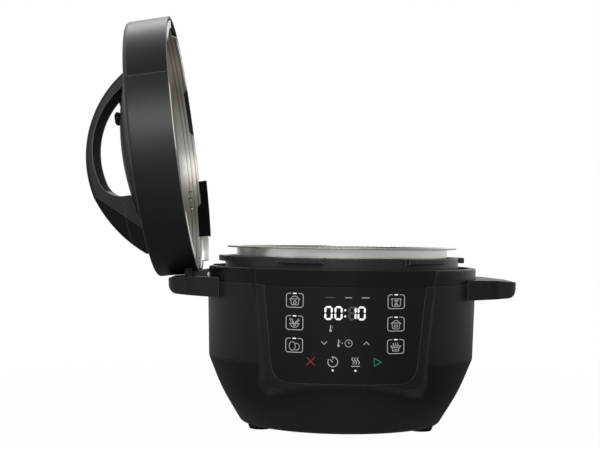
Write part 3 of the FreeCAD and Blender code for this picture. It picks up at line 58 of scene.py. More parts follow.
# The lid's own axes, as it stands open
LID_AXIS = Vector(joints["lock_turn"]["axis"])
LID_CENTRE = Vector(joints["lock_turn"]["pos_m"])
LID_TURN = Vector((0, 0, 1)).rotation_difference(LID_AXIS).to_matrix().to_4x4()
LID_PLACE = Matrix.Translation(LID_CENTRE) @ LID_TURN

# Front touch panel: its face is a cylinder about the body's axis
FACE_R = -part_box("touch_panel")[0].y / MM

# Camera, fitted to the photograph
CAMERA_AT = Vector((-0.0504, -1.6, 0.2335))
CAMERA_LENS = 80.0
SENSOR_W = 36.0
CAMERA_PITCH = math.radians(0.15)
CAMERA_ROLL = math.radians(0.8)


def photo_camera():
    """The photograph's camera."""
    data = bpy.data.cameras.new("photo_camera")
    data.lens = CAMERA_LENS
    data.sensor_width = SENSOR_W
    camera = bpy.data.objects.new("photo_camera", data)
    turn = Matrix.Rotation(math.pi / 2 + CAMERA_PITCH, 4, "X") @ Matrix.Rotation(CAMERA_ROLL, 4, "Z")
    camera.matrix_world = Matrix.Translation(CAMERA_AT) @ turn
    bpy.context.scene.collection.objects.link(camera)
    bpy.context.scene.camera = camera


# Node maths

class Wire:
    """A node socket that takes part in Python arithmetic."""

    def __init__(self, wiring, socket):
        self.wiring = wiring
        self.socket = socket

    def _maths(self, operation, first, second, clamp=False):
        settings = {"operation": operation, "use_clamp": clamp}
        return self.wiring.node("ShaderNodeMath", settings, {0: first, 1: second})

    def __add__(self, other):
        return self._maths("ADD", self, other)

    def __radd__(self, other):
        return self._maths("ADD", other, self)

    def __sub__(self, other):
        return self._maths("SUBTRACT", self, other)

    def __rsub__(self, other):
        return self._maths("SUBTRACT", other, self)

    def __mul__(self, other):
        return self._maths("MULTIPLY", self, other)

    def __rmul__(self, other):
        return self._maths("MULTIPLY", other, self)

    def __pow__(self, other):
        return self._maths("POWER", self, other)

    def clamped(self):
        return self._maths("ADD", self, 0.0, True)

    def arctan2(self, other):
        return self._maths("ARCTAN2", self, other)


class Wiring:
    """The nodes of one tree."""

    def __init__(self, tree):
        self.tree = tree
        tree.nodes.clear()

    def node(self, kind, settings=None, sockets=None, output=0):
        made = self.tree.nodes.new(kind)
        for name, value in (settings or {}).items():
            setattr(made, name, value)
        for name, value in (sockets or {}).items():
            if isinstance(value, Wire):
                self.tree.links.new(value.socket, made.inputs[name])
            else:
                made.inputs[name].default_value = value
        return Wire(self, made.outputs[output]) if len(made.outputs) else None

    def parts(self, vector):
        """The x, y and z of a vector."""
        split = self.node("ShaderNodeSeparateXYZ", {}, {0: vector}).socket.node
        return [Wire(self, socket) for socket in split.outputs]

    def joined(self, x, y, z):
        return self.node("ShaderNodeCombineXYZ", {}, {0: x, 1: y, 2: z})

    def eased(self, value, start, end, low=0.0, high=1.0):
        """A value carried smoothly from one range into another."""
        settings = {"interpolation_type": "SMOOTHSTEP"}
        return self.node("ShaderNodeMapRange", settings, {
            "Value": value, "From Min": start, "From Max": end, "To Min": low, "To Max": high})


# Finishes

PAINTED_HIGHLIGHT_R = 1.1        # reach of the painted highlight beside a plastic edge, mm
EDGE_BENT = 0.80          # cosine between the rounded and the flat normal at which that painted highlight is full
EDGE_FLAT = 0.99          # and at which it ends
BEVEL_SAMPLES = 4
PLASTIC_EDGE = 0.6        # rounding shown on the edges of plastic, mm
FINE_EDGE = 0.3           # and of metal, film and silicone
GRAIN_DEPTH = 0.02        # relief of plastic and silicone, mm
BRUSH_DEPTH = 0.012       # relief of brushed steel, mm
SAND_DEPTH = 0.04         # relief of cast metal, mm
FILM_DEPTH = 0.01         # relief of the touch panel, mm
GROOVE_FLOOR = 0.3        # half width of a pressed line at its floor, mm
GROOVE_TOP = 1.0          # and at its top
GROOVE_DEPTH = 50.0       # depth of a pressed line, in reliefs of the brushed steel
LINE_SHADE = 0.9          # how much the painted shade of a pressed line and the painted dark reflection at the pot's rim darken steel
PAINTED_RIM_START = 0.8           # painted dark reflection along the pot's rim, mm in from its edge
PAINTED_RIM_FULL = 0.4


class Finish(Wiring):
    """One material."""

    def __init__(self, name):
        self.material = bpy.data.materials.new(name)
        self.material.use_nodes = True
        super().__init__(self.material.node_tree)

    def place(self):
        """The point being shaded, in the part's own frame."""
        return self.node("ShaderNodeTexCoord", output="Object")

    def lid_place(self):
        """The point being shaded, turned so that the lid's axis is Z and its centre is the origin."""
        shifted = self.node("ShaderNodeVectorMath", {"operation": "SUBTRACT"},
                            {0: self.place(), 1: tuple(LID_CENTRE)})
        turn = LID_PLACE.to_quaternion().inverted().to_euler()
        sockets = {"Vector": shifted, "Rotation": turn}
        return self.node("ShaderNodeMapping", {"vector_type": "POINT"}, sockets)

    def noise(self, place, scale, detail=2.0, roughness=0.5):
        sockets = {"Vector": place, "Scale": scale, "Detail": detail, "Roughness": roughness}
        return self.node("ShaderNodeTexNoise", {}, sockets)

    def mix(self, factor, first, second):
        """Colour between two colours."""
        sockets = {"Factor": factor, 6: first, 7: second}
        return self.node("ShaderNodeMix", {"data_type": "RGBA"}, sockets, 2)

    def bump(self, height, strength, distance, edge=None):
        """Normal with a fine relief, over edges rounded by a radius."""
        sockets = {"Strength": strength, "Distance": distance, "Height": height}
        if edge:
            sockets["Normal"] = self.node("ShaderNodeBevel", {"samples": BEVEL_SAMPLES}, {"Radius": edge})
        return self.node("ShaderNodeBump", {}, sockets)

    def edges(self, radius):
        """One along the edges of a piece, nothing on its faces."""
        rounded = self.node("ShaderNodeBevel", {"samples": BEVEL_SAMPLES}, {"Radius": radius})
        flat = self.node("ShaderNodeNewGeometry", output="Normal")
        sockets = {0: rounded, 1: flat}
        along = self.node("ShaderNodeVectorMath", {"operation": "DOT_PRODUCT"}, sockets, "Value")
        return self.eased(along, EDGE_BENT, EDGE_FLAT, 1.0, 0.0)

    def surface(self, sockets):
        shader = self.node("ShaderNodeBsdfPrincipled", {}, sockets)
        self.node("ShaderNodeOutputMaterial", {}, {"Surface": shader})
        return self.material


def colour(red, green, blue):
    return (red, green, blue, 1.0)


def black(level):
    """A near black with a trace of blue."""
    return (level, level, level + 0.0005)


def moulded(name, dark, light, rough, grain=0.25, grain_size=0.7, specular=0.35, painted_edge_highlight=0.0):
    """Moulded plastic: a fine eroded grain, soft edges, a highlight painted in the base colour along them
    when asked for, and a sheen that drifts.
    """
    finish = Finish(name)
    place = finish.place()
    fine = finish.noise(place, 1000.0 / grain_size, 3.0, 0.6)
    slow = finish.noise(place, 14.0, 3.0, 0.55)
    shade = finish.mix(slow, colour(*dark), colour(*light))
    # painted highlight: the base colour is lightened along the edges
    if painted_edge_highlight:
        shade = finish.mix(finish.edges(PAINTED_HIGHLIGHT_R * MM), shade, colour(painted_edge_highlight, painted_edge_highlight, painted_edge_highlight))
    return finish.surface({
        "Base Color": shade,
        "Roughness": rough - 0.06 + 0.12 * slow + 0.05 * fine,
        "Specular IOR Level": specular,
        "Normal": finish.bump(fine, grain, GRAIN_DEPTH * MM, PLASTIC_EDGE * MM),
    })


def lathe_brushed(name, tone, rough=0.22, on_lid=False, relief=0.5, steps=(), rim=0.0):
    """Steel brushed in circles about an axis, with lines pressed at some heights, painted shade along their
    floors, and a painted dark reflection along the rim, in mm.
    """
    finish = Finish(name)
    place = finish.lid_place() if on_lid else finish.place()
    x, y, z = finish.parts(place)
    radius = (x * x + y * y) ** 0.5
    angle = y.arctan2(x)
    fine = finish.noise(finish.joined(radius * 1800.0, angle * 0.4, z * 1800.0), 1.0, 2.0, 0.6)
    bands = finish.noise(finish.joined(radius * 200.0, angle * 0.15, z * 200.0), 1.0, 2.0, 0.6)
    slow = finish.noise(place, 18.0, 2.0, 0.5)
    height = fine
    shade = 0.40 + fine * 0.10 + bands * 0.35 + slow * 0.2
    for step in steps:
        off = ((z - step * MM) ** 2.0) ** 0.5
        groove = finish.eased(off, GROOVE_FLOOR * MM, GROOVE_TOP * MM, 1.0, 0.0)
        height = height - groove * GROOVE_DEPTH
        # painted shade along the floor of the pressed line
        shade = shade - groove * LINE_SHADE
    if rim:
        # painted dark reflection: the steel is darkened near the rim's edge
        shade = shade - finish.eased(radius, (rim - PAINTED_RIM_START) * MM, (rim - PAINTED_RIM_FULL) * MM) * LINE_SHADE
    dark = tuple(0.40 * c for c in tone)
    return finish.surface({
        "Base Color": finish.mix(shade.clamped(), colour(*dark), colour(*tone)),
        "Metallic": 1.0,
        "Roughness": rough - 0.05 + 0.10 * fine + 0.06 * slow,
        "Normal": finish.bump(height, relief, BRUSH_DEPTH * MM, FINE_EDGE * MM),
    })


def cast(name, tone, rough):
    """Cast or spun metal with a fine sandy skin."""
    finish = Finish(name)
    place = finish.place()
    fine = finish.noise(place, 900.0, 4.0, 0.65)
    slow = finish.noise(place, 30.0, 2.0, 0.5)
    dark = tuple(0.82 * c for c in tone)
    return finish.surface({
        "Base Color": finish.mix(slow, colour(*dark), colour(*tone)),
        "Metallic": 1.0,
        "Roughness": rough + 0.12 * fine,
        "Normal": finish.bump(fine, 0.3, SAND_DEPTH * MM, FINE_EDGE * MM),
    })


FILM_DARK = (0.0060, 0.0057, 0.0072)
FILM_LIGHT = (0.0100, 0.0096, 0.0114)


def touch_film():
    """Printed touch panel: a smooth satin film with a trace of dust and prints."""
    finish = Finish("touch_film")
    place = finish.place()
    prints = finish.noise(place, 40.0, 4.0, 0.6)
    fine = finish.noise(place, 2500.0, 2.0, 0.5)
    return finish.surface({
        "Base Color": finish.mix(prints, colour(*FILM_DARK), colour(*FILM_LIGHT)),
        "Roughness": 0.26 + 0.08 * prints + 0.03 * fine,
        "Specular IOR Level": 0.18,
        "Normal": finish.bump(fine, 0.05, FILM_DEPTH * MM, FINE_EDGE * MM),
    })


def silicone(name, dark, light):
    """Soft rubber with a fine matt skin."""
    finish = Finish(name)
    place = finish.place()
    slow = finish.noise(place, 60.0, 3.0, 0.5)
    fine = finish.noise(place, 1800.0, 2.0, 0.5)
    return finish.surface({
        "Base Color": finish.mix(slow, colour(*dark), colour(*light)),
        "Roughness": 0.5 + 0.15 * fine,
        "Specular IOR Level": 0.4,
        "Normal": finish.bump(fine, 0.15, GRAIN_DEPTH * MM, FINE_EDGE * MM),
    })


def circuit_board():
    """Green board with a faint pattern of tracks."""
    finish = Finish("circuit_board")
    place = finish.place()
    tracks = finish.node("ShaderNodeTexBrick", {}, {
        "Vector": place,
        "Scale": 60.0,
        "Color1": colour(0.02, 0.14, 0.05),
        "Color2": colour(0.015, 0.10, 0.04),
        "Mortar": colour(0.05, 0.26, 0.10),
        "Mortar Size": 0.02,
    })
    fine = finish.noise(place, 600.0, 2.0, 0.5)
    return finish.surface({"Base Color": tracks, "Roughness": 0.35 + 0.15 * fine})


def lit_ink(name, tone, glow):
    """Ink or lamp on the panel: even, with a slight fall in brightness over each mark."""
    finish = Finish(name)
    cloud = finish.noise(finish.place(), 300.0, 2.0, 0.5)
    dim = tuple(0.86 * c for c in tone)
    shade = finish.mix(cloud, colour(*dim), colour(*tone))
    return finish.surface({
        "Base Color": shade,
        "Roughness": 0.4 + 0.1 * cloud,
        "Emission Color": shade,
        "Emission Strength": glow,
    })


# Pieces made in code

def piece_of(data, name, material, body):
    """A finished mesh as a piece that rides on a body."""
    data.materials.clear()
    data.materials.append(material)
    piece = bpy.data.objects.new(name, data)
    bpy.context.scene.collection.objects.link(piece)
    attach(piece, body)
    return piece


def outward(mesh, data):
    """The bmesh written to mesh data with its faces pointing outwards."""
    bmesh.ops.recalc_face_normals(mesh, faces=mesh.faces)
    mesh.to_mesh(data)
    mesh.free()
    return data


class Pattern(Wiring):
    """A Geometry Nodes tree for pieces that repeat; its sizes are named inputs, in metres."""

    def __init__(self, name, sizes):
        self.name = name
        super().__init__(bpy.data.node_groups.new(name, "GeometryNodeTree"))
        sockets = self.tree.interface
        sockets.new_socket("Result", in_out="OUTPUT", socket_type="NodeSocketGeometry")
        sockets.new_socket("Start", in_out="INPUT", socket_type="NodeSocketGeometry")
        self.values = {}
        for label, value in sizes.items():
            kind = "NodeSocketInt" if isinstance(value, int) else "NodeSocketFloat"
            made = sockets.new_socket(label, in_out="INPUT", socket_type=kind)
            self.values[made.identifier] = value if isinstance(value, int) else value * MM
        self.given = self.tree.nodes.new("NodeGroupInput")

    def size(self, label):
        return Wire(self, self.given.outputs[label])

    def block(self, width, depth, height):
        """Block about the origin."""
        return self.node("GeometryNodeMeshCube", {}, {"Size": self.joined(width, depth, height)})

    def moved(self, geometry, x=0.0, y=0.0, z=0.0):
        sockets = {"Geometry": geometry, "Translation": self.joined(x, y, z)}
        return self.node("GeometryNodeTransform", {}, sockets)

    def together(self, *geometries):
        made = self.tree.nodes.new("GeometryNodeJoinGeometry")
        for geometry in geometries:
            self.tree.links.new(geometry.socket, made.inputs[0])
        return Wire(self, made.outputs[0])

    def column(self, count, pitch):
        """Points in a row upwards."""
        return self.node("GeometryNodeMeshLine", {"mode": "OFFSET"}, {
            "Count": count, "Offset": self.joined(0.0, 0.0, pitch)})

    def repeated(self, points, geometry, rotation=None):
        sockets = {"Points": points, "Instance": geometry}
        if rotation:
            sockets["Rotation"] = rotation
        return self.node("GeometryNodeInstanceOnPoints", {}, sockets)

    def around(self, count, radius, geometry):
        """Copies about the Z axis, each turned to face outwards."""
        circle = self.node("GeometryNodeMeshCircle", {}, {"Vertices": count, "Radius": radius})
        x, y, _ = self.parts(self.node("GeometryNodeInputPosition"))
        return self.repeated(circle, geometry, self.joined(0.0, 0.0, y.arctan2(x)))

    def finished(self, geometry, material, body, slot, start=None, place=None):
        """The tree's result as one plain mesh on a body."""
        real = self.node("GeometryNodeRealizeInstances", {}, {"Geometry": geometry})
        dressed = self.node("GeometryNodeSetMaterial", {}, {"Geometry": real, "Material": material})
        self.node("NodeGroupOutput", {}, {0: dressed})
        host = bpy.data.objects.new(self.name, start or bpy.data.meshes.new(self.name))
        bpy.context.scene.collection.objects.link(host)
        modifier = host.modifiers.new(self.name, "NODES")
        modifier.node_group = self.tree
        for identifier, value in self.values.items():
            modifier[identifier] = value
        ready = host.evaluated_get(bpy.context.evaluated_depsgraph_get())
        data = bpy.data.meshes.new_from_object(ready)
        host.modifiers.clear()
        bpy.data.objects.remove(host)
        mesh = bmesh.new()
        mesh.from_mesh(data)
        data = outward(mesh, data)
        data.transform(place or Matrix())
        return piece_of(data, self.name, material, body)


SLOT_OVER_FACE = 0.17     # middle of the painted slot shadow over the low face of a screw's head, mm
VALVE_RIB_RISE = 3.4      # middle of the steam valve's ribs over its low end, mm
CUP_RIB_FRONT = 1.5       # middle of the cup's ribs before its own middle, mm
CUP_RIB_RISE = 12.0       # lowest rib over the cup's floor, mm
POT_WALL_OUT = 13.0       # inner wall of the pot outside its base disc, mm
MARKS_FROM_Z = 92.0       # lowest level mark above the feet, mm


def ring_of(points):
    """Middle radius about Z, and the lowest z, of some points."""
    radii = [math.hypot(p.x, p.y) for p in points]
    return (min(radii) + max(radii)) / 2, min(p.z for p in points)


def in_lid(name):
    """Points of a lid node in the lid's own axes, in mm."""
    back = LID_PLACE.inverted()
    return [back @ vertex.co / MM for vertex in nodes[name].data.vertices]


def painted_slot_shadows(name, points, first_deg, material, body, place):
    """Painted shadow of cross slots: dark cross plates in the heads of four screws that face down along an
    axis.
    """
    ring_r, low = ring_of(points)
    pattern = Pattern(name, {"Screws": 4, "Ring radius": ring_r, "Slot length": 3.6, "Slot width": 0.75,
                             "Depth": 0.4, "Face": low + SLOT_OVER_FACE})
    length, width = pattern.size("Slot length"), pattern.size("Slot width")
    depth = pattern.size("Depth")
    cross = pattern.together(pattern.block(length, width, depth), pattern.block(width, length, depth))
    whole = pattern.moved(pattern.around(pattern.size("Screws"), pattern.size("Ring radius"), cross),
                          z=pattern.size("Face"))
    turn = Matrix.Rotation(math.radians(first_deg), 4, "Z")
    return pattern.finished(whole, material, body, "black_plastic", place=place @ turn)


def valve_grip(material):
    """Ribs around the knob of the steam valve."""
    points = in_lid("steam_valve")
    low = min(p.z for p in points)
    middle = (min(p.x for p in points) + max(p.x for p in points)) / 2
    pattern = Pattern("steam_valve_ribs", {"Ribs": 22, "Knob radius": 7.4, "Rib depth": 1.5, "Rib width": 0.9,
                                           "Rib height": 3.4})
    rib = pattern.block(pattern.size("Rib depth"), pattern.size("Rib width"), pattern.size("Rib height"))
    ring = pattern.around(pattern.size("Ribs"), pattern.size("Knob radius"), rib)
    place = LID_PLACE @ Matrix.Translation(Vector((middle, 0, low + VALVE_RIB_RISE)) * MM)
    return pattern.finished(ring, material, "steam_valve", "black_plastic", place=place)


def cup_grip(material):
    """Finger ribs on both sides of the condensation cup."""
    low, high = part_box("condensation_cup")
    pattern = Pattern("cup_grip_ribs", {"Ribs": 6, "Pitch": 4.0, "Rib length": 11.0, "Rib height": 1.4,
                                        "Rib depth": 1.2, "Half width": high.x / MM})
    rib = pattern.block(pattern.size("Rib depth"), pattern.size("Rib length"), pattern.size("Rib height"))
    side = pattern.repeated(pattern.column(pattern.size("Ribs"), pattern.size("Pitch")), rib)
    half = pattern.size("Half width")
    pair = pattern.together(pattern.moved(side, x=half), pattern.moved(side, x=0.0 - half))
    middle = Vector((0, (low.y + high.y) / 2 - CUP_RIB_FRONT * MM, low.z + CUP_RIB_RISE * MM))
    return pattern.finished(pair, material, "cup", "black_plastic", place=Matrix.Translation(middle))


def pot_level_marks(material):
    """Pressed level marks on the inner wall of the pot, at the back."""
    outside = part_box("pot_base")[1].x / MM + POT_WALL_OUT
    pattern = Pattern("pot_level_marks", {"Marks": 6, "Pitch": 16.0, "Long": 16.0, "Short": 9.0,
                                          "Weight": 0.9, "Depth": 0.6, "Wall": outside})
    weight, depth = pattern.size("Weight"), pattern.size("Depth")
    longs = pattern.repeated(pattern.column(pattern.size("Marks"), pattern.size("Pitch")),
                             pattern.block(pattern.size("Long"), depth, weight))
    shorts = pattern.repeated(pattern.column(pattern.size("Marks"), pattern.size("Pitch")),
                              pattern.block(pattern.size("Short"), depth, weight))
    both = pattern.together(longs, pattern.moved(shorts, z=pattern.size("Pitch") * 0.5))
    scale = pattern.moved(both, y=pattern.size("Wall"))
    return pattern.finished(scale, material, "inner_pot", "brushed_steel",
                            place=Matrix.Translation(Vector((0, 0, MARKS_FROM_Z)) * MM))


SPRING_WIRE_R = 0.7       # mm
SPRING_TURNS = 4
SPRING_STEPS = 128        # rings along the wire
WIRE_SIDES = 8            # sides of the wire's section


def coil_spring(material):
    """The probe's spring, wound as a coil of wire in place of its CAD node."""
    low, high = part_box("probe_spring")
    wire = SPRING_WIRE_R * MM
    radius = (high.x - low.x) / 2 - wire
    rise = high.z - low.z - 2 * wire
    mesh = bmesh.new()
    rings = []
    for step in range(SPRING_STEPS + 1):
        share = step / SPRING_STEPS
        angle = 2 * math.pi * SPRING_TURNS * share
        away = Vector((math.cos(angle), math.sin(angle), 0))
        middle = radius * away + Vector((0, 0, low.z + wire + rise * share))
        ring = []
        for side in range(WIRE_SIDES):
            turn = 2 * math.pi * side / WIRE_SIDES
            edge = math.cos(turn) * away + Vector((0, 0, math.sin(turn)))
            ring.append(mesh.verts.new(middle + wire * edge))
        rings.append(ring)
    for first, second in zip(rings, rings[1:]):
        for side in range(WIRE_SIDES):
            after = (side + 1) % WIRE_SIDES
            mesh.faces.new((first[side], second[side], second[after], first[after]))
    mesh.faces.new(rings[0])
    mesh.faces.new(rings[-1])
    data = outward(mesh, bpy.data.meshes.new("coil_spring"))
    for face in data.polygons:
        face.use_smooth = True
    spring = piece_of(data, "coil_spring", material, "base")
    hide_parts("probe_spring")
    travel = -joints["probe_press"]["range_m"][0]
    1 - travel / (high.z - low.z)
    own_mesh(spring)

# Panel graphics

INK_LIFT = 0.03           # height of the printed marks over the panel, mm
INK_SINK = 0.05
STEP = 2.0                # longest straight piece of a mark on the curved panel, mm
SAME_PLACE = 1e-9         # points nearer than this are one, mm
SHARPEST = 0.4            # least cosine that a mitre is worked out with


def on_panel(x, z, lift):
    """Point of the curved panel at a place seen from the front, in mm."""
    radius = FACE_R + lift
    return Vector((x, -math.sqrt(radius * radius - x * x), z)) * MM


class Marks:
    """Marks of one colour on the panel, collected as thin closed plates."""

    def __init__(self, name, material):
        self.name = name
        self.material = material
        self.mesh = bmesh.new()

    def corner(self, place, lift):
        return self.mesh.verts.new(on_panel(place[0], place[1], lift))

    def plate(self, points):
        """Filled outline."""
        top = [self.corner(p, INK_LIFT) for p in points]
        low = [self.corner(p, -INK_SINK) for p in points]
        self.mesh.faces.new(top)
        self.mesh.faces.new(low[::-1])
        for i in range(len(points)):
            j = (i + 1) % len(points)
            self.mesh.faces.new((top[j], top[i], low[i], low[j]))

    def dot(self, x, z, radius):
        self.plate(arc(x, z, radius, 0, 345, 23))

    def line(self, points, width, closed=False):
        """Ribbon of one width along a run of points."""
        run = fine_run(points, closed)
        count = len(run)
        corners = []
        for i, point in enumerate(run):
            before = run[i - 1] if closed or i > 0 else point
            after = run[(i + 1) % count] if closed or i < count - 1 else point
            side = mitre(before, point, after, width / 2)
            left, right = point + side, point - side
            corners.append([self.corner(left, INK_LIFT), self.corner(right, INK_LIFT),
                            self.corner(right, -INK_SINK), self.corner(left, -INK_SINK)])
        following = corners[1:] + corners[:1] if closed else corners[1:]
        for a, b in zip(corners, following):
            for k in range(4):
                m = (k + 1) % 4
                self.mesh.faces.new((a[k], a[m], b[m], b[k]))
        if not closed:
            self.mesh.faces.new(corners[0][::-1])
            self.mesh.faces.new(corners[-1])

    def finished(self):
        """The marks as one piece."""
        data = outward(self.mesh, bpy.data.meshes.new(self.name))
        piece_of(data, self.name, self.material, "base")


def fine_run(points, closed):
    """Points with every long stretch divided, as 2-D vectors."""
    places = [Vector(p) for p in points]
    if closed:
        places.append(places[0])
    run = [places[0]]
    for a, b in zip(places, places[1:]):
        pieces = max(1, math.ceil((b - a).length / STEP))
        run += [a.lerp(b, (i + 1) / pieces) for i in range(pieces)]
    return run[:-1] if closed else run


def mitre(before, point, after, half):
    """Half-width offset at a point of a line, kept square to both its neighbours."""
    first, second = point - before, after - point
    way_in = first.normalized() if first.length > SAME_PLACE else second.normalized()
    way_out = second.normalized() if second.length > SAME_PLACE else way_in
    heading = (way_in + way_out).normalized()
    side = Vector((-heading.y, heading.x))
    square = Vector((-way_in.y, way_in.x))
    return side * (half / max(SHARPEST, side.dot(square)))


def arc(cx, cz, radius, start, end, count=16, tall=1.0):
    """Points of an arc, angles in degrees; tall stretches it upwards."""
    angles = [math.radians(start + (end - start) * i / count) for i in range(count + 1)]
    return [(cx + radius * math.cos(a), cz + tall * radius * math.sin(a)) for a in angles]


# Layout of the panel, mm from its middle line and above the feet
KEY_X = 54.9
KEY_MIDDLE_Z, KEY_PITCH = 131.5, 24.3
KEY_W, KEY_H, KEY_CORNER = 18.2, 15.0, 2.6
KEY_GAP = 7.6             # opening in the top of a key's frame
LAMP_W, LAMP_H = 3.8, 1.2
FRAME_LINE = 0.75
ICON_LINE = 0.62
DIGIT_LOW, DIGIT_H, DIGIT_W = 135.6, 15.0, 8.9
DIGIT_X = (-18.4, -7.7, 7.2, 17.2)
COLON_X = -0.5
STROKE = 2.1              # weight of the clock digits
WORD_Z = 159.8
WORDS = ((-17.0, 11.0), (2.8, 7.4), (21.3, 8.6))
ROW_Z = 110.8
ROW_LINE = 0.75
FOOT_Z = 90.6
FOOT_LINE = 0.8
FOOT_X = (-36.9, -13.1, 11.4, 35.0)
DOT_Z = 81.5

SEGMENT_GAP = 0.25        # between the bars of a digit
COLON_RISES = (0.28, 0.72)                       # shares of the digits' height
COLON_R = 1.1
WORD_LINE = 0.9
SYMBOL_DROP = 0.5         # symbol below the middle of its key
ARROW_X, ARROW_HALF_W, ARROW_HALF_H = 22.8, 3.1, 1.6
CLOCK_THERMOMETER = (-16.0, 126.4, 7.4)          # x, z, height
ROW_THERMOMETER = (-7.3, ROW_Z, 8.0)
ROW_DOT = (-3.2, ROW_Z, 0.65)                    # x, z, radius
ROW_CLOCK = (3.6, ROW_Z, 3.8)
DOT_R = 1.15

SEGMENTS = {"0": "abcdef", "1": "bc"}            # bars of each digit, lettered round from the top
UNLIT = "adefg"                                  # bars of the third digit that stay dark


def key_frames(material):
    """Rounded frames of the six keys, open at the top and wrapped on the curved panel."""
    half_w, half_h = KEY_W / 2, KEY_H / 2
    inner_w, inner_h = half_w - KEY_CORNER, half_h - KEY_CORNER
    path = [(-KEY_GAP / 2, half_h)]
    for sx, sz, start in ((-1, 1, 90), (-1, -1, 180), (1, -1, 270), (1, 1, 360)):
        path += arc(sx * inner_w, sz * inner_h, KEY_CORNER, start, start + 90, 6)
    path.append((KEY_GAP / 2, half_h))
    run = fine_run(path, False)
    start = bpy.data.meshes.new("key_frame_path")
    edges = [(i, i + 1) for i in range(len(run) - 1)]
    start.from_pydata([Vector((p.x, 0, p.y)) * MM for p in run], edges, [])
    pattern = Pattern("panel_key_frames", {"Rows": 3, "Row pitch": KEY_PITCH, "Line": FRAME_LINE,
                                           "Across": KEY_X, "Middle": KEY_MIDDLE_Z, "Face radius": FACE_R,
                                           "Sink": FRAME_LINE / 2 - INK_LIFT})
    curve = pattern.node("GeometryNodeMeshToCurve", {}, {"Mesh": pattern.size("Start")})
    line = pattern.size("Line")
    section = pattern.node("GeometryNodeCurvePrimitiveQuadrilateral", {}, {"Width": line, "Height": line})
    frame_line = pattern.node("GeometryNodeCurveToMesh", {}, {
        "Curve": curve, "Profile Curve": section, "Fill Caps": True})
    pitch = pattern.size("Row pitch")
    column = pattern.repeated(pattern.column(pattern.size("Rows"), pitch), frame_line)
    low = pattern.size("Middle") - pitch
    across = pattern.size("Across")
    sink = pattern.size("Sink")
    right = pattern.moved(column, x=across, y=sink, z=low)
    left = pattern.moved(column, x=0.0 - across, y=sink, z=low)
    flat = pattern.node("GeometryNodeRealizeInstances", {}, {"Geometry": pattern.together(right, left)})
    x, y, z = pattern.parts(pattern.node("GeometryNodeInputPosition"))
    radius = pattern.size("Face radius") - y
    wrapped = pattern.joined(x, 0.0 - (radius * radius - x * x) ** 0.5, z)
    curved = pattern.node("GeometryNodeSetPosition", {}, {"Geometry": flat, "Position": wrapped})
    return pattern.finished(curved, material, "base", "touch_gloss", start=start)


def segment(marks, cx, which):
    """One bar of a clock digit."""
    half_w, half_h = DIGIT_W / 2, DIGIT_H / 2
    mid = DIGIT_LOW + half_h
    t = STROKE / 2
    gap = SEGMENT_GAP
    flat = {"a": DIGIT_LOW + DIGIT_H - t, "g": mid, "d": DIGIT_LOW + t}
    if which in flat:
        z = flat[which]
        left, right = cx - half_w + t + gap, cx + half_w - t - gap
        marks.plate([(left, z), (left + t, z + t), (right - t, z + t),
                     (right, z), (right - t, z - t), (left + t, z - t)])
        return
    x = cx + (half_w - t if which in "bc" else -half_w + t)
    low = mid + gap if which in "bf" else DIGIT_LOW + t + gap
    high = DIGIT_LOW + DIGIT_H - t - gap if which in "bf" else mid - gap
    marks.plate([(x, low), (x + t, low + t), (x + t, high - t),
                 (x, high), (x - t, high - t), (x - t, low + t)])


def clock(white, faint):
    """The time, with the unlit bars of its third digit showing faintly."""
    for cx, digit in zip(DIGIT_X, "0010"):
        for which in SEGMENTS[digit]:
            segment(white, cx, which)
    for which in UNLIT:
        segment(faint, DIGIT_X[2], which)
    for rise in COLON_RISES:
        white.dot(COLON_X, DIGIT_LOW + rise * DIGIT_H, COLON_R)


def pan_outline(marks, x, z):
    """Pot seen from the side, with two ears."""
    marks.line([(x - 4.5, z + 1.4), (x - 3.7, z - 3.6), (x - 2.9, z - 4.3), (x + 2.9, z - 4.3),
                (x + 3.7, z - 3.6), (x + 4.5, z + 1.4)], ICON_LINE)
    marks.line([(x - 5.8, z + 1.4), (x - 4.9, z + 2.0), (x + 4.9, z + 2.0), (x + 5.8, z + 1.4)], ICON_LINE)


def drop_key(marks, x, z):
    """Pot with a drop in it, under a round lid."""
    pan_outline(marks, x, z)
    tip = (x, z + 0.6)
    marks.line([tip, (x + 1.6, z - 1.6)] + arc(x, z - 1.9, 1.6, 0, -180, 10) + [tip], ICON_LINE)
    marks.line(arc(x, z + 2.0, 4.0, 18, 162, 14, 0.75), ICON_LINE)


def bowl_key(marks, x, z):
    """Bowl with two sticks and a leaf."""
    marks.line(arc(x, z - 0.2, 4.4, 180, 360, 16, 0.95), ICON_LINE)
    marks.line([(x - 5.6, z - 0.2), (x + 5.6, z - 0.2)], ICON_LINE)
    marks.line([(x + 0.4, z + 0.4), (x + 4.8, z + 5.0)], ICON_LINE)
    marks.line([(x + 1.9, z + 0.4), (x + 5.6, z + 3.6)], ICON_LINE)
    stem = (x - 1.0, z + 0.6)
    marks.line([stem, (x - 3.8, z + 1.8), (x - 5.0, z + 4.8), (x - 2.4, z + 4.2), stem], ICON_LINE)
    marks.line(arc(x, z - 1.7, 1.2, 0, 345, 14), ICON_LINE, True)


def eggs_key(marks, x, z):
    """Two eggs, one behind the other."""
    marks.line(arc(x - 2.1, z - 0.3, 3.3, 0, 348, 24, 1.42), ICON_LINE, True)
    marks.line(arc(x + 2.3, z - 1.0, 3.2, -118, 128, 18, 1.15), ICON_LINE)


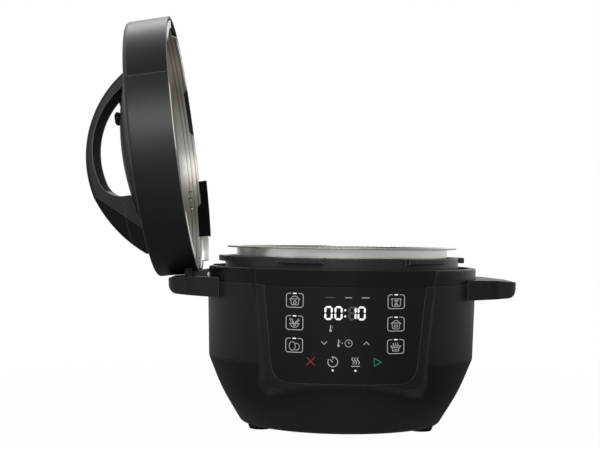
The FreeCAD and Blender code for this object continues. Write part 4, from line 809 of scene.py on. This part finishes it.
def glass_key(marks, x, z):
    """Pot with a sand glass in it."""
    marks.line([(x - 4.6, z + 3.4), (x - 4.6, z - 3.4), (x - 3.6, z - 4.5), (x + 3.6, z - 4.5),
                (x + 4.6, z - 3.4), (x + 4.6, z + 3.4)], ICON_LINE)
    marks.line([(x - 5.8, z + 2.6), (x - 4.6, z + 3.6), (x + 4.6, z + 3.6), (x + 5.8, z + 2.6)], ICON_LINE)
    marks.line([(x - 1.9, z + 1.9), (x + 1.9, z + 1.9), (x, z - 0.6), (x - 1.9, z + 1.9)], ICON_LINE)
    marks.line([(x - 1.9, z - 3.0), (x + 1.9, z - 3.0), (x, z - 0.6), (x - 1.9, z - 3.0)], ICON_LINE)


def lidded_key(marks, x, z):
    """Pot under a peaked lid with a knob."""
    pan_outline(marks, x, z - 0.3)
    marks.line([(x - 4.4, z + 2.0), (x - 1.0, z + 4.4), (x + 1.0, z + 4.4), (x + 4.4, z + 2.0)], ICON_LINE)
    marks.line([(x - 1.7, z - 2.6), (x - 1.7, z - 0.4), (x + 1.7, z - 0.4), (x + 1.7, z - 2.6)],
               ICON_LINE, True)


def steamer_key(marks, x, z):
    """Deep pan with a broad basket over it."""
    marks.line([(x - 3.8, z - 0.6), (x - 3.2, z - 4.2), (x + 3.2, z - 4.2), (x + 3.8, z - 0.6)], ICON_LINE)
    marks.line([(x - 5.6, z + 1.2), (x - 4.4, z - 0.5), (x + 4.4, z - 0.5), (x + 5.6, z + 1.2)],
               ICON_LINE, True)
    for shift in (-2.4, 0.0, 2.4):
        wave(marks, x + shift, z + 1.8, 2.8, ICON_LINE)
    marks.line([(x - 1.8, z - 2.2), (x, z - 3.0), (x + 1.8, z - 2.2)], ICON_LINE)


def wave(marks, x, z, height, weight):
    """Wavy line of steam."""
    count = 14
    sway = 0.16 * height
    marks.line([(x + sway * math.sin(2 * math.pi * i / count), z + height * i / count)
                for i in range(count + 1)], weight)


def thermometer(marks, x, z, height):
    """Bulb and stem with two ticks."""
    bulb = 1.4
    marks.dot(x, z - height / 2 + bulb, bulb)
    marks.line([(x, z - height / 2 + bulb), (x, z + height / 2)], 1.15)
    for rise in (0.12, 0.32):
        marks.line([(x + 1.3, z + rise * height), (x + 2.3, z + rise * height)], 0.45)


def clock_face(marks, x, z, radius):
    """Ring with two hands."""
    marks.line(arc(x, z, radius, 0, 352, 44), 0.65, True)
    marks.line([(x, z + radius * 0.58), (x, z), (x + radius * 0.45, z)], 0.6)


def cancel_mark(marks, x, z):
    """Cross."""
    reach = 4.3
    marks.line([(x - reach, z - reach), (x + reach, z + reach)], FOOT_LINE)
    marks.line([(x - reach, z + reach), (x + reach, z - reach)], FOOT_LINE)


def delay_mark(marks, x, z):
    """Ring with a gap and one hand."""
    marks.line(arc(x, z, 5.3, 105, -215, 44), FOOT_LINE)
    marks.line([(x, z + 3.0), (x, z + 5.3)], FOOT_LINE)
    marks.line([(x - 3.0, z + 2.6), (x, z - 0.2)], FOOT_LINE)


def warm_mark(marks, x, z):
    """Rising heat over a plate."""
    for shift in (-2.9, 0.0, 2.9):
        wave(marks, x + shift, z - 2.2, 7.2, FOOT_LINE)
    marks.line([(x - 4.7, z - 4.4), (x + 4.7, z - 4.4)], FOOT_LINE)


def start_mark(marks, x, z):
    """Triangle that points right."""
    marks.line([(x - 3.4, z - 4.3), (x - 3.4, z + 4.3), (x + 4.3, z)], FOOT_LINE, True)


def panel_graphics(inks):
    """All printed and lit marks but the keys' frames, one piece for each ink."""
    white = Marks("panel_lit_marks", inks["white"])
    pale = Marks("panel_key_symbols", inks["pale"])
    dim = Marks("panel_row_symbols", inks["dim"])
    faint = Marks("panel_faint_marks", inks["faint"])
    red = Marks("panel_cancel_mark", inks["red"])
    green = Marks("panel_start_mark", inks["green"])
    symbols = (eggs_key, bowl_key, drop_key, steamer_key, lidded_key, glass_key)
    rows = [KEY_MIDDLE_Z + shift * KEY_PITCH for shift in (-1, 0, 1)]
    for draw, (x, z) in zip(symbols, [(x, z) for x in (-KEY_X, KEY_X) for z in rows]):
        draw(pale, x, z - SYMBOL_DROP)
        top = z + KEY_H / 2
        white.line([(x - LAMP_W / 2, top), (x + LAMP_W / 2, top)], LAMP_H)
    for x, length in WORDS:
        word = dim if x > 0 else faint
        word.line([(x - length / 2, WORD_Z), (x + length / 2, WORD_Z)], WORD_LINE)
    clock(white, faint)
    thermometer(dim, *CLOCK_THERMOMETER)
    for side in (-1, 1):
        x = side * ARROW_X
        foot = ROW_Z - side * ARROW_HALF_H
        tip = ROW_Z + side * ARROW_HALF_H
        dim.line([(x - ARROW_HALF_W, foot), (x, tip), (x + ARROW_HALF_W, foot)], ROW_LINE)
    thermometer(dim, *ROW_THERMOMETER)
    dim.dot(*ROW_DOT)
    clock_face(dim, *ROW_CLOCK)
    cancel_mark(red, FOOT_X[0], FOOT_Z)
    delay_mark(pale, FOOT_X[1], FOOT_Z)
    warm_mark(pale, FOOT_X[2], FOOT_Z)
    start_mark(green, FOOT_X[3], FOOT_Z)
    for x in FOOT_X[1:3]:
        white.dot(x, DOT_Z, DOT_R)
    for marks in (white, pale, dim, faint, red, green):
        marks.finished()


# Light and floor

FRONT_OF_ROOM = 0.05      # brightness of the room's front in reflections
CEILING = 0.10            # what its top adds
HORIZON = 1.00            # what its low front edge adds, and the most that the far floor shows
NEAR_FLOOR = 0.35         # brightness of the floor about the object's middle plane, in reflections
FILL = 0.26               # even light from all round
ROOM_FRONT, ROOM_BACK = -0.5, 0.55               # y of the directions between which the room changes
HORIZON_TOP, CEILING_TOP = 0.14, 0.9             # z of the directions at which they end
FLOOR_HALF = 8.0          # m
FLOOR_DARK, FLOOR_LIGHT = 0.20, 0.23             # tones of the floor
FLOOR_SEEN = 0.985        # brightness of the floor by the object to the camera; white further off
SEEN_FROM, SEEN_TO = 0.2, 1.0                    # m from the axis
NEAR_HALF_W = 0.20        # half width of the near floor's glow, m
FAR_FROM, FAR_TO = 0.8, 3.0                      # m from the axis


def studio():
    """White to the camera; in reflections white behind the object, darker towards the front of the room."""
    world = bpy.data.worlds.new("studio")
    world.use_nodes = True
    room = Wiring(world.node_tree)
    path = room.node("ShaderNodeLightPath").socket.node
    camera, glossy, through = (Wire(room, path.outputs[f"Is {kind} Ray"])
                               for kind in ("Camera", "Glossy", "Transmission"))
    _, y, z = room.parts(room.node("ShaderNodeTexCoord", output="Generated"))
    horizon = room.eased(z, 0.0, HORIZON_TOP, HORIZON, 0.0) * room.eased(y, ROOM_FRONT, ROOM_BACK, 1.0, 0.0)
    walls = room.eased(y, ROOM_FRONT, ROOM_BACK, FRONT_OF_ROOM, 1.0)
    mirrored = walls + room.eased(z, 0.0, CEILING_TOP, 0.0, CEILING) + horizon
    shown = (glossy + through).clamped()
    level = camera + (1.0 - camera) * (shown * mirrored + (1.0 - shown) * FILL)
    sky = room.node("ShaderNodeBackground", {}, {"Color": colour(1, 1, 1), "Strength": level})
    room.node("ShaderNodeOutputWorld", {}, {"Surface": sky})
    bpy.context.scene.world = world
    bpy.context.scene.view_settings.view_transform = "Standard"


def softbox(name, place, target, width, height, power):
    """Soft lamp of a size in metres and a power in watts."""
    data = bpy.data.lights.new(name, "AREA")
    data.shape = "RECTANGLE"
    data.size = width
    data.size_y = height
    data.energy = power
    lamp = bpy.data.objects.new(name, data)
    lamp.location = place
    lamp.rotation_euler = (Vector(target) - Vector(place)).to_track_quat("-Z", "Y").to_euler()
    bpy.context.scene.collection.objects.link(lamp)


def lamps():
    """A lamp above and behind, one above the camera and a weak one on the left."""
    softbox("top_softbox", (-0.2, 1.2, 1.7), (0, 0, 0.2), width=1.4, height=0.6, power=10.0)
    softbox("front_softbox", (-0.25, -1.75, 1.0), (-0.1, 0, 0.28), width=1.4, height=0.7, power=20.0)
    softbox("left_softbox", (-1.6, -1.0, 0.9), (-0.1, 0, 0.25), width=0.5, height=0.9, power=4.0)


def floor():
    """Pale floor, which takes the object's shadow and shows as white."""
    mesh = bmesh.new()
    bmesh.ops.create_grid(mesh, x_segments=1, y_segments=1, size=FLOOR_HALF)
    data = bpy.data.meshes.new("floor")
    mesh.to_mesh(data)
    mesh.free()
    finish = Finish("pale_floor")
    place = finish.place()
    cloud = finish.noise(place, 3.0)
    tone = finish.mix(cloud, colour(*[FLOOR_DARK] * 3), colour(*[FLOOR_LIGHT] * 3))
    diffuse = finish.node("ShaderNodeBsdfDiffuse", {}, {"Color": tone})
    glow = finish.node("ShaderNodeEmission", {}, {"Color": colour(1, 1, 1), "Strength": 1.0})
    x, y, _ = finish.parts(place)
    camera = finish.node("ShaderNodeLightPath", output="Is Camera Ray")
    glossy = finish.node("ShaderNodeLightPath", output="Is Glossy Ray")
    away = (x * x + y * y) ** 0.5
    near = finish.eased((x * x) ** 0.5, 0.0, NEAR_HALF_W, NEAR_FLOOR, 0.0)
    mirrored = near + finish.eased(away, FAR_FROM, FAR_TO, 0.0, HORIZON - NEAR_FLOOR)
    seen = finish.eased(away, SEEN_FROM, SEEN_TO, FLOOR_SEEN, 1.0)
    shown = camera * seen + glossy * mirrored
    shader = finish.node("ShaderNodeMixShader", {}, {0: shown, 1: diffuse, 2: glow})
    finish.node("ShaderNodeOutputMaterial", {}, {"Surface": shader})
    data.materials.append(finish.material)
    ground = bpy.data.objects.new("floor", data)
    bpy.context.scene.collection.objects.link(ground)


BODY_DARK = (0.0070, 0.0066, 0.0082)
BODY_LIGHT = (0.0100, 0.0095, 0.0116)
PLATE_LINES = (3.0, 8.5, 13.0)                   # heights of the lines pressed in the lid's plate, each with painted shade along it, mm


def finishes():
    """Every node's finish; the finishes that other pieces share are given back by name."""
    # the last number given to several finishes below lightens the base colour along edges: a painted
    # highlight
    body = moulded("body_black", BODY_DARK, BODY_LIGHT, 0.42, specular=0.27, painted_edge_highlight=0.10)
    ring = moulded("ring_black", black(0.004), black(0.006), 0.30, 0.1, specular=0.16, painted_edge_highlight=0.05)
    lid = moulded("lid_black", black(0.009), black(0.014), 0.40, specular=0.42, painted_edge_highlight=0.14)
    arch = moulded("arch_black", black(0.007), black(0.010), 0.40, specular=0.30, painted_edge_highlight=0.20)
    cap = moulded("cap_black", black(0.009), black(0.014), 0.34, specular=0.36, painted_edge_highlight=0.25)
    smooth = moulded("smooth_black", black(0.006), black(0.010), 0.30, 0.1, specular=0.40)
    neck = moulded("neck_black", black(0.013), black(0.020), 0.34, 0.1, specular=0.4, painted_edge_highlight=0.22)
    dull = moulded("grip_black", black(0.004), black(0.007), 0.75, 0.5, specular=0.06)
    rim_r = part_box("inner_pot")[1].x / MM
    # the pot's steel carries a painted dark reflection at its rim
    steel = lathe_brushed("pot_steel", (0.77, 0.75, 0.715), rim=rim_r)
    lid_steel = lathe_brushed("lid_steel", (0.78, 0.755, 0.72), 0.30, True, 0.15, PLATE_LINES)
    bright = lathe_brushed("fastener_steel", (0.78, 0.77, 0.75), relief=0.1)
    alloy = cast("cast_alloy", (0.62, 0.62, 0.63), 0.38)
    rubber = moulded("foot_rubber", (0.010, 0.010, 0.010), (0.016, 0.016, 0.016), 0.72, 0.5, 0.9, 0.25)
    grey = silicone("seal_silicone", (0.42, 0.41, 0.38), (0.54, 0.52, 0.49))
    smoke = moulded("cup_smoke", (0.026, 0.027, 0.029), (0.036, 0.037, 0.039), 0.32, 0.1)
    groups = (
        (body, "base_housing bottom_cover right_handle left_handle drain_spout power_inlet"),
        (ring, "top_ring"),
        (neck, "bayonet_ring"),
        (lid, "lid_cover"),
        (arch, "lid_handle handle_mount"),
        (cap, "rim_cap"),
        (dull, "grip_insert ring_guard release_button steam_valve"),
        (smooth, "slide_ring button_seat display_module relay"),
        (touch_film(), "touch_panel"),
        (rubber, "rubber_feet lid_rest_pads"),
        (steel, "inner_pot pot_base heating_rod probe_guide probe_spring"),
        (lid_steel, "pressure_plate locking_ring guard_tail seal_rack vent_pipe block_shield"),
        (bright, "hinge_bracket hinge_pin board_screws cover_screws lid_screws float_valve transformer"),
        (cast("rivet_steel", (0.34, 0.33, 0.32), 0.30), "ring_rivets"),
        (alloy, "heating_plate temperature_probe liner liner_floor capacitor"),
        (grey, "sealing_ring float_seal"),
        (circuit_board(), "control_board power_board"),
        (cast("pin_brass", (0.80, 0.66, 0.36), 0.25), "inlet_pins"),
        (smoke, "condensation_cup"),
    )
    for material, names in groups:
        for name in names.split():
            nodes[name].data.materials.clear()
            nodes[name].data.materials.append(material)
    return {"smooth": smooth, "smoke": smoke, "steel": steel}


def main():
    """The whole scene."""
    photo_camera()
    studio()
    lamps()
    floor()
    shared = finishes()
    inks = {
        "white": lit_ink("white_ink", (0.80, 0.80, 0.79), 0.7),
        "pale": lit_ink("pale_ink", (0.36, 0.36, 0.35), 0.6),
        "dim": lit_ink("dim_ink", (0.30, 0.30, 0.29), 0.6),
        # painted glow: the faint ink glows by emission on the unlit bars of the clock, which no lamp lights;
        # the faint word shares it
        "faint": lit_ink("faint_ink", (0.045, 0.045, 0.045), 0.5),
        "red": lit_ink("red_ink", (0.27, 0.010, 0.008), 0.5),
        "green": lit_ink("green_ink", (0.006, 0.16, 0.08), 0.6),
    }
    panel_graphics(inks)
    key_frames(inks["pale"])
    valve_grip(shared["smooth"])
    cup_grip(shared["smoke"])
    pot_level_marks(shared["steel"])
    coil_spring(shared["steel"])
    # painted shadow: dark cross plates where the screws' slots would lie in shade
    recess = moulded("recess_shadow", (0.020, 0.019, 0.018), (0.030, 0.029, 0.027), 0.6)
    painted_slot_shadows("lid_screw_slots", in_lid("lid_screws"), 45.0, recess, "lid", LID_PLACE)
    cover_points = [vertex.co / MM for vertex in nodes["cover_screws"].data.vertices]
    painted_slot_shadows("cover_screw_slots", cover_points, 0.0, recess, "base", Matrix())


main()
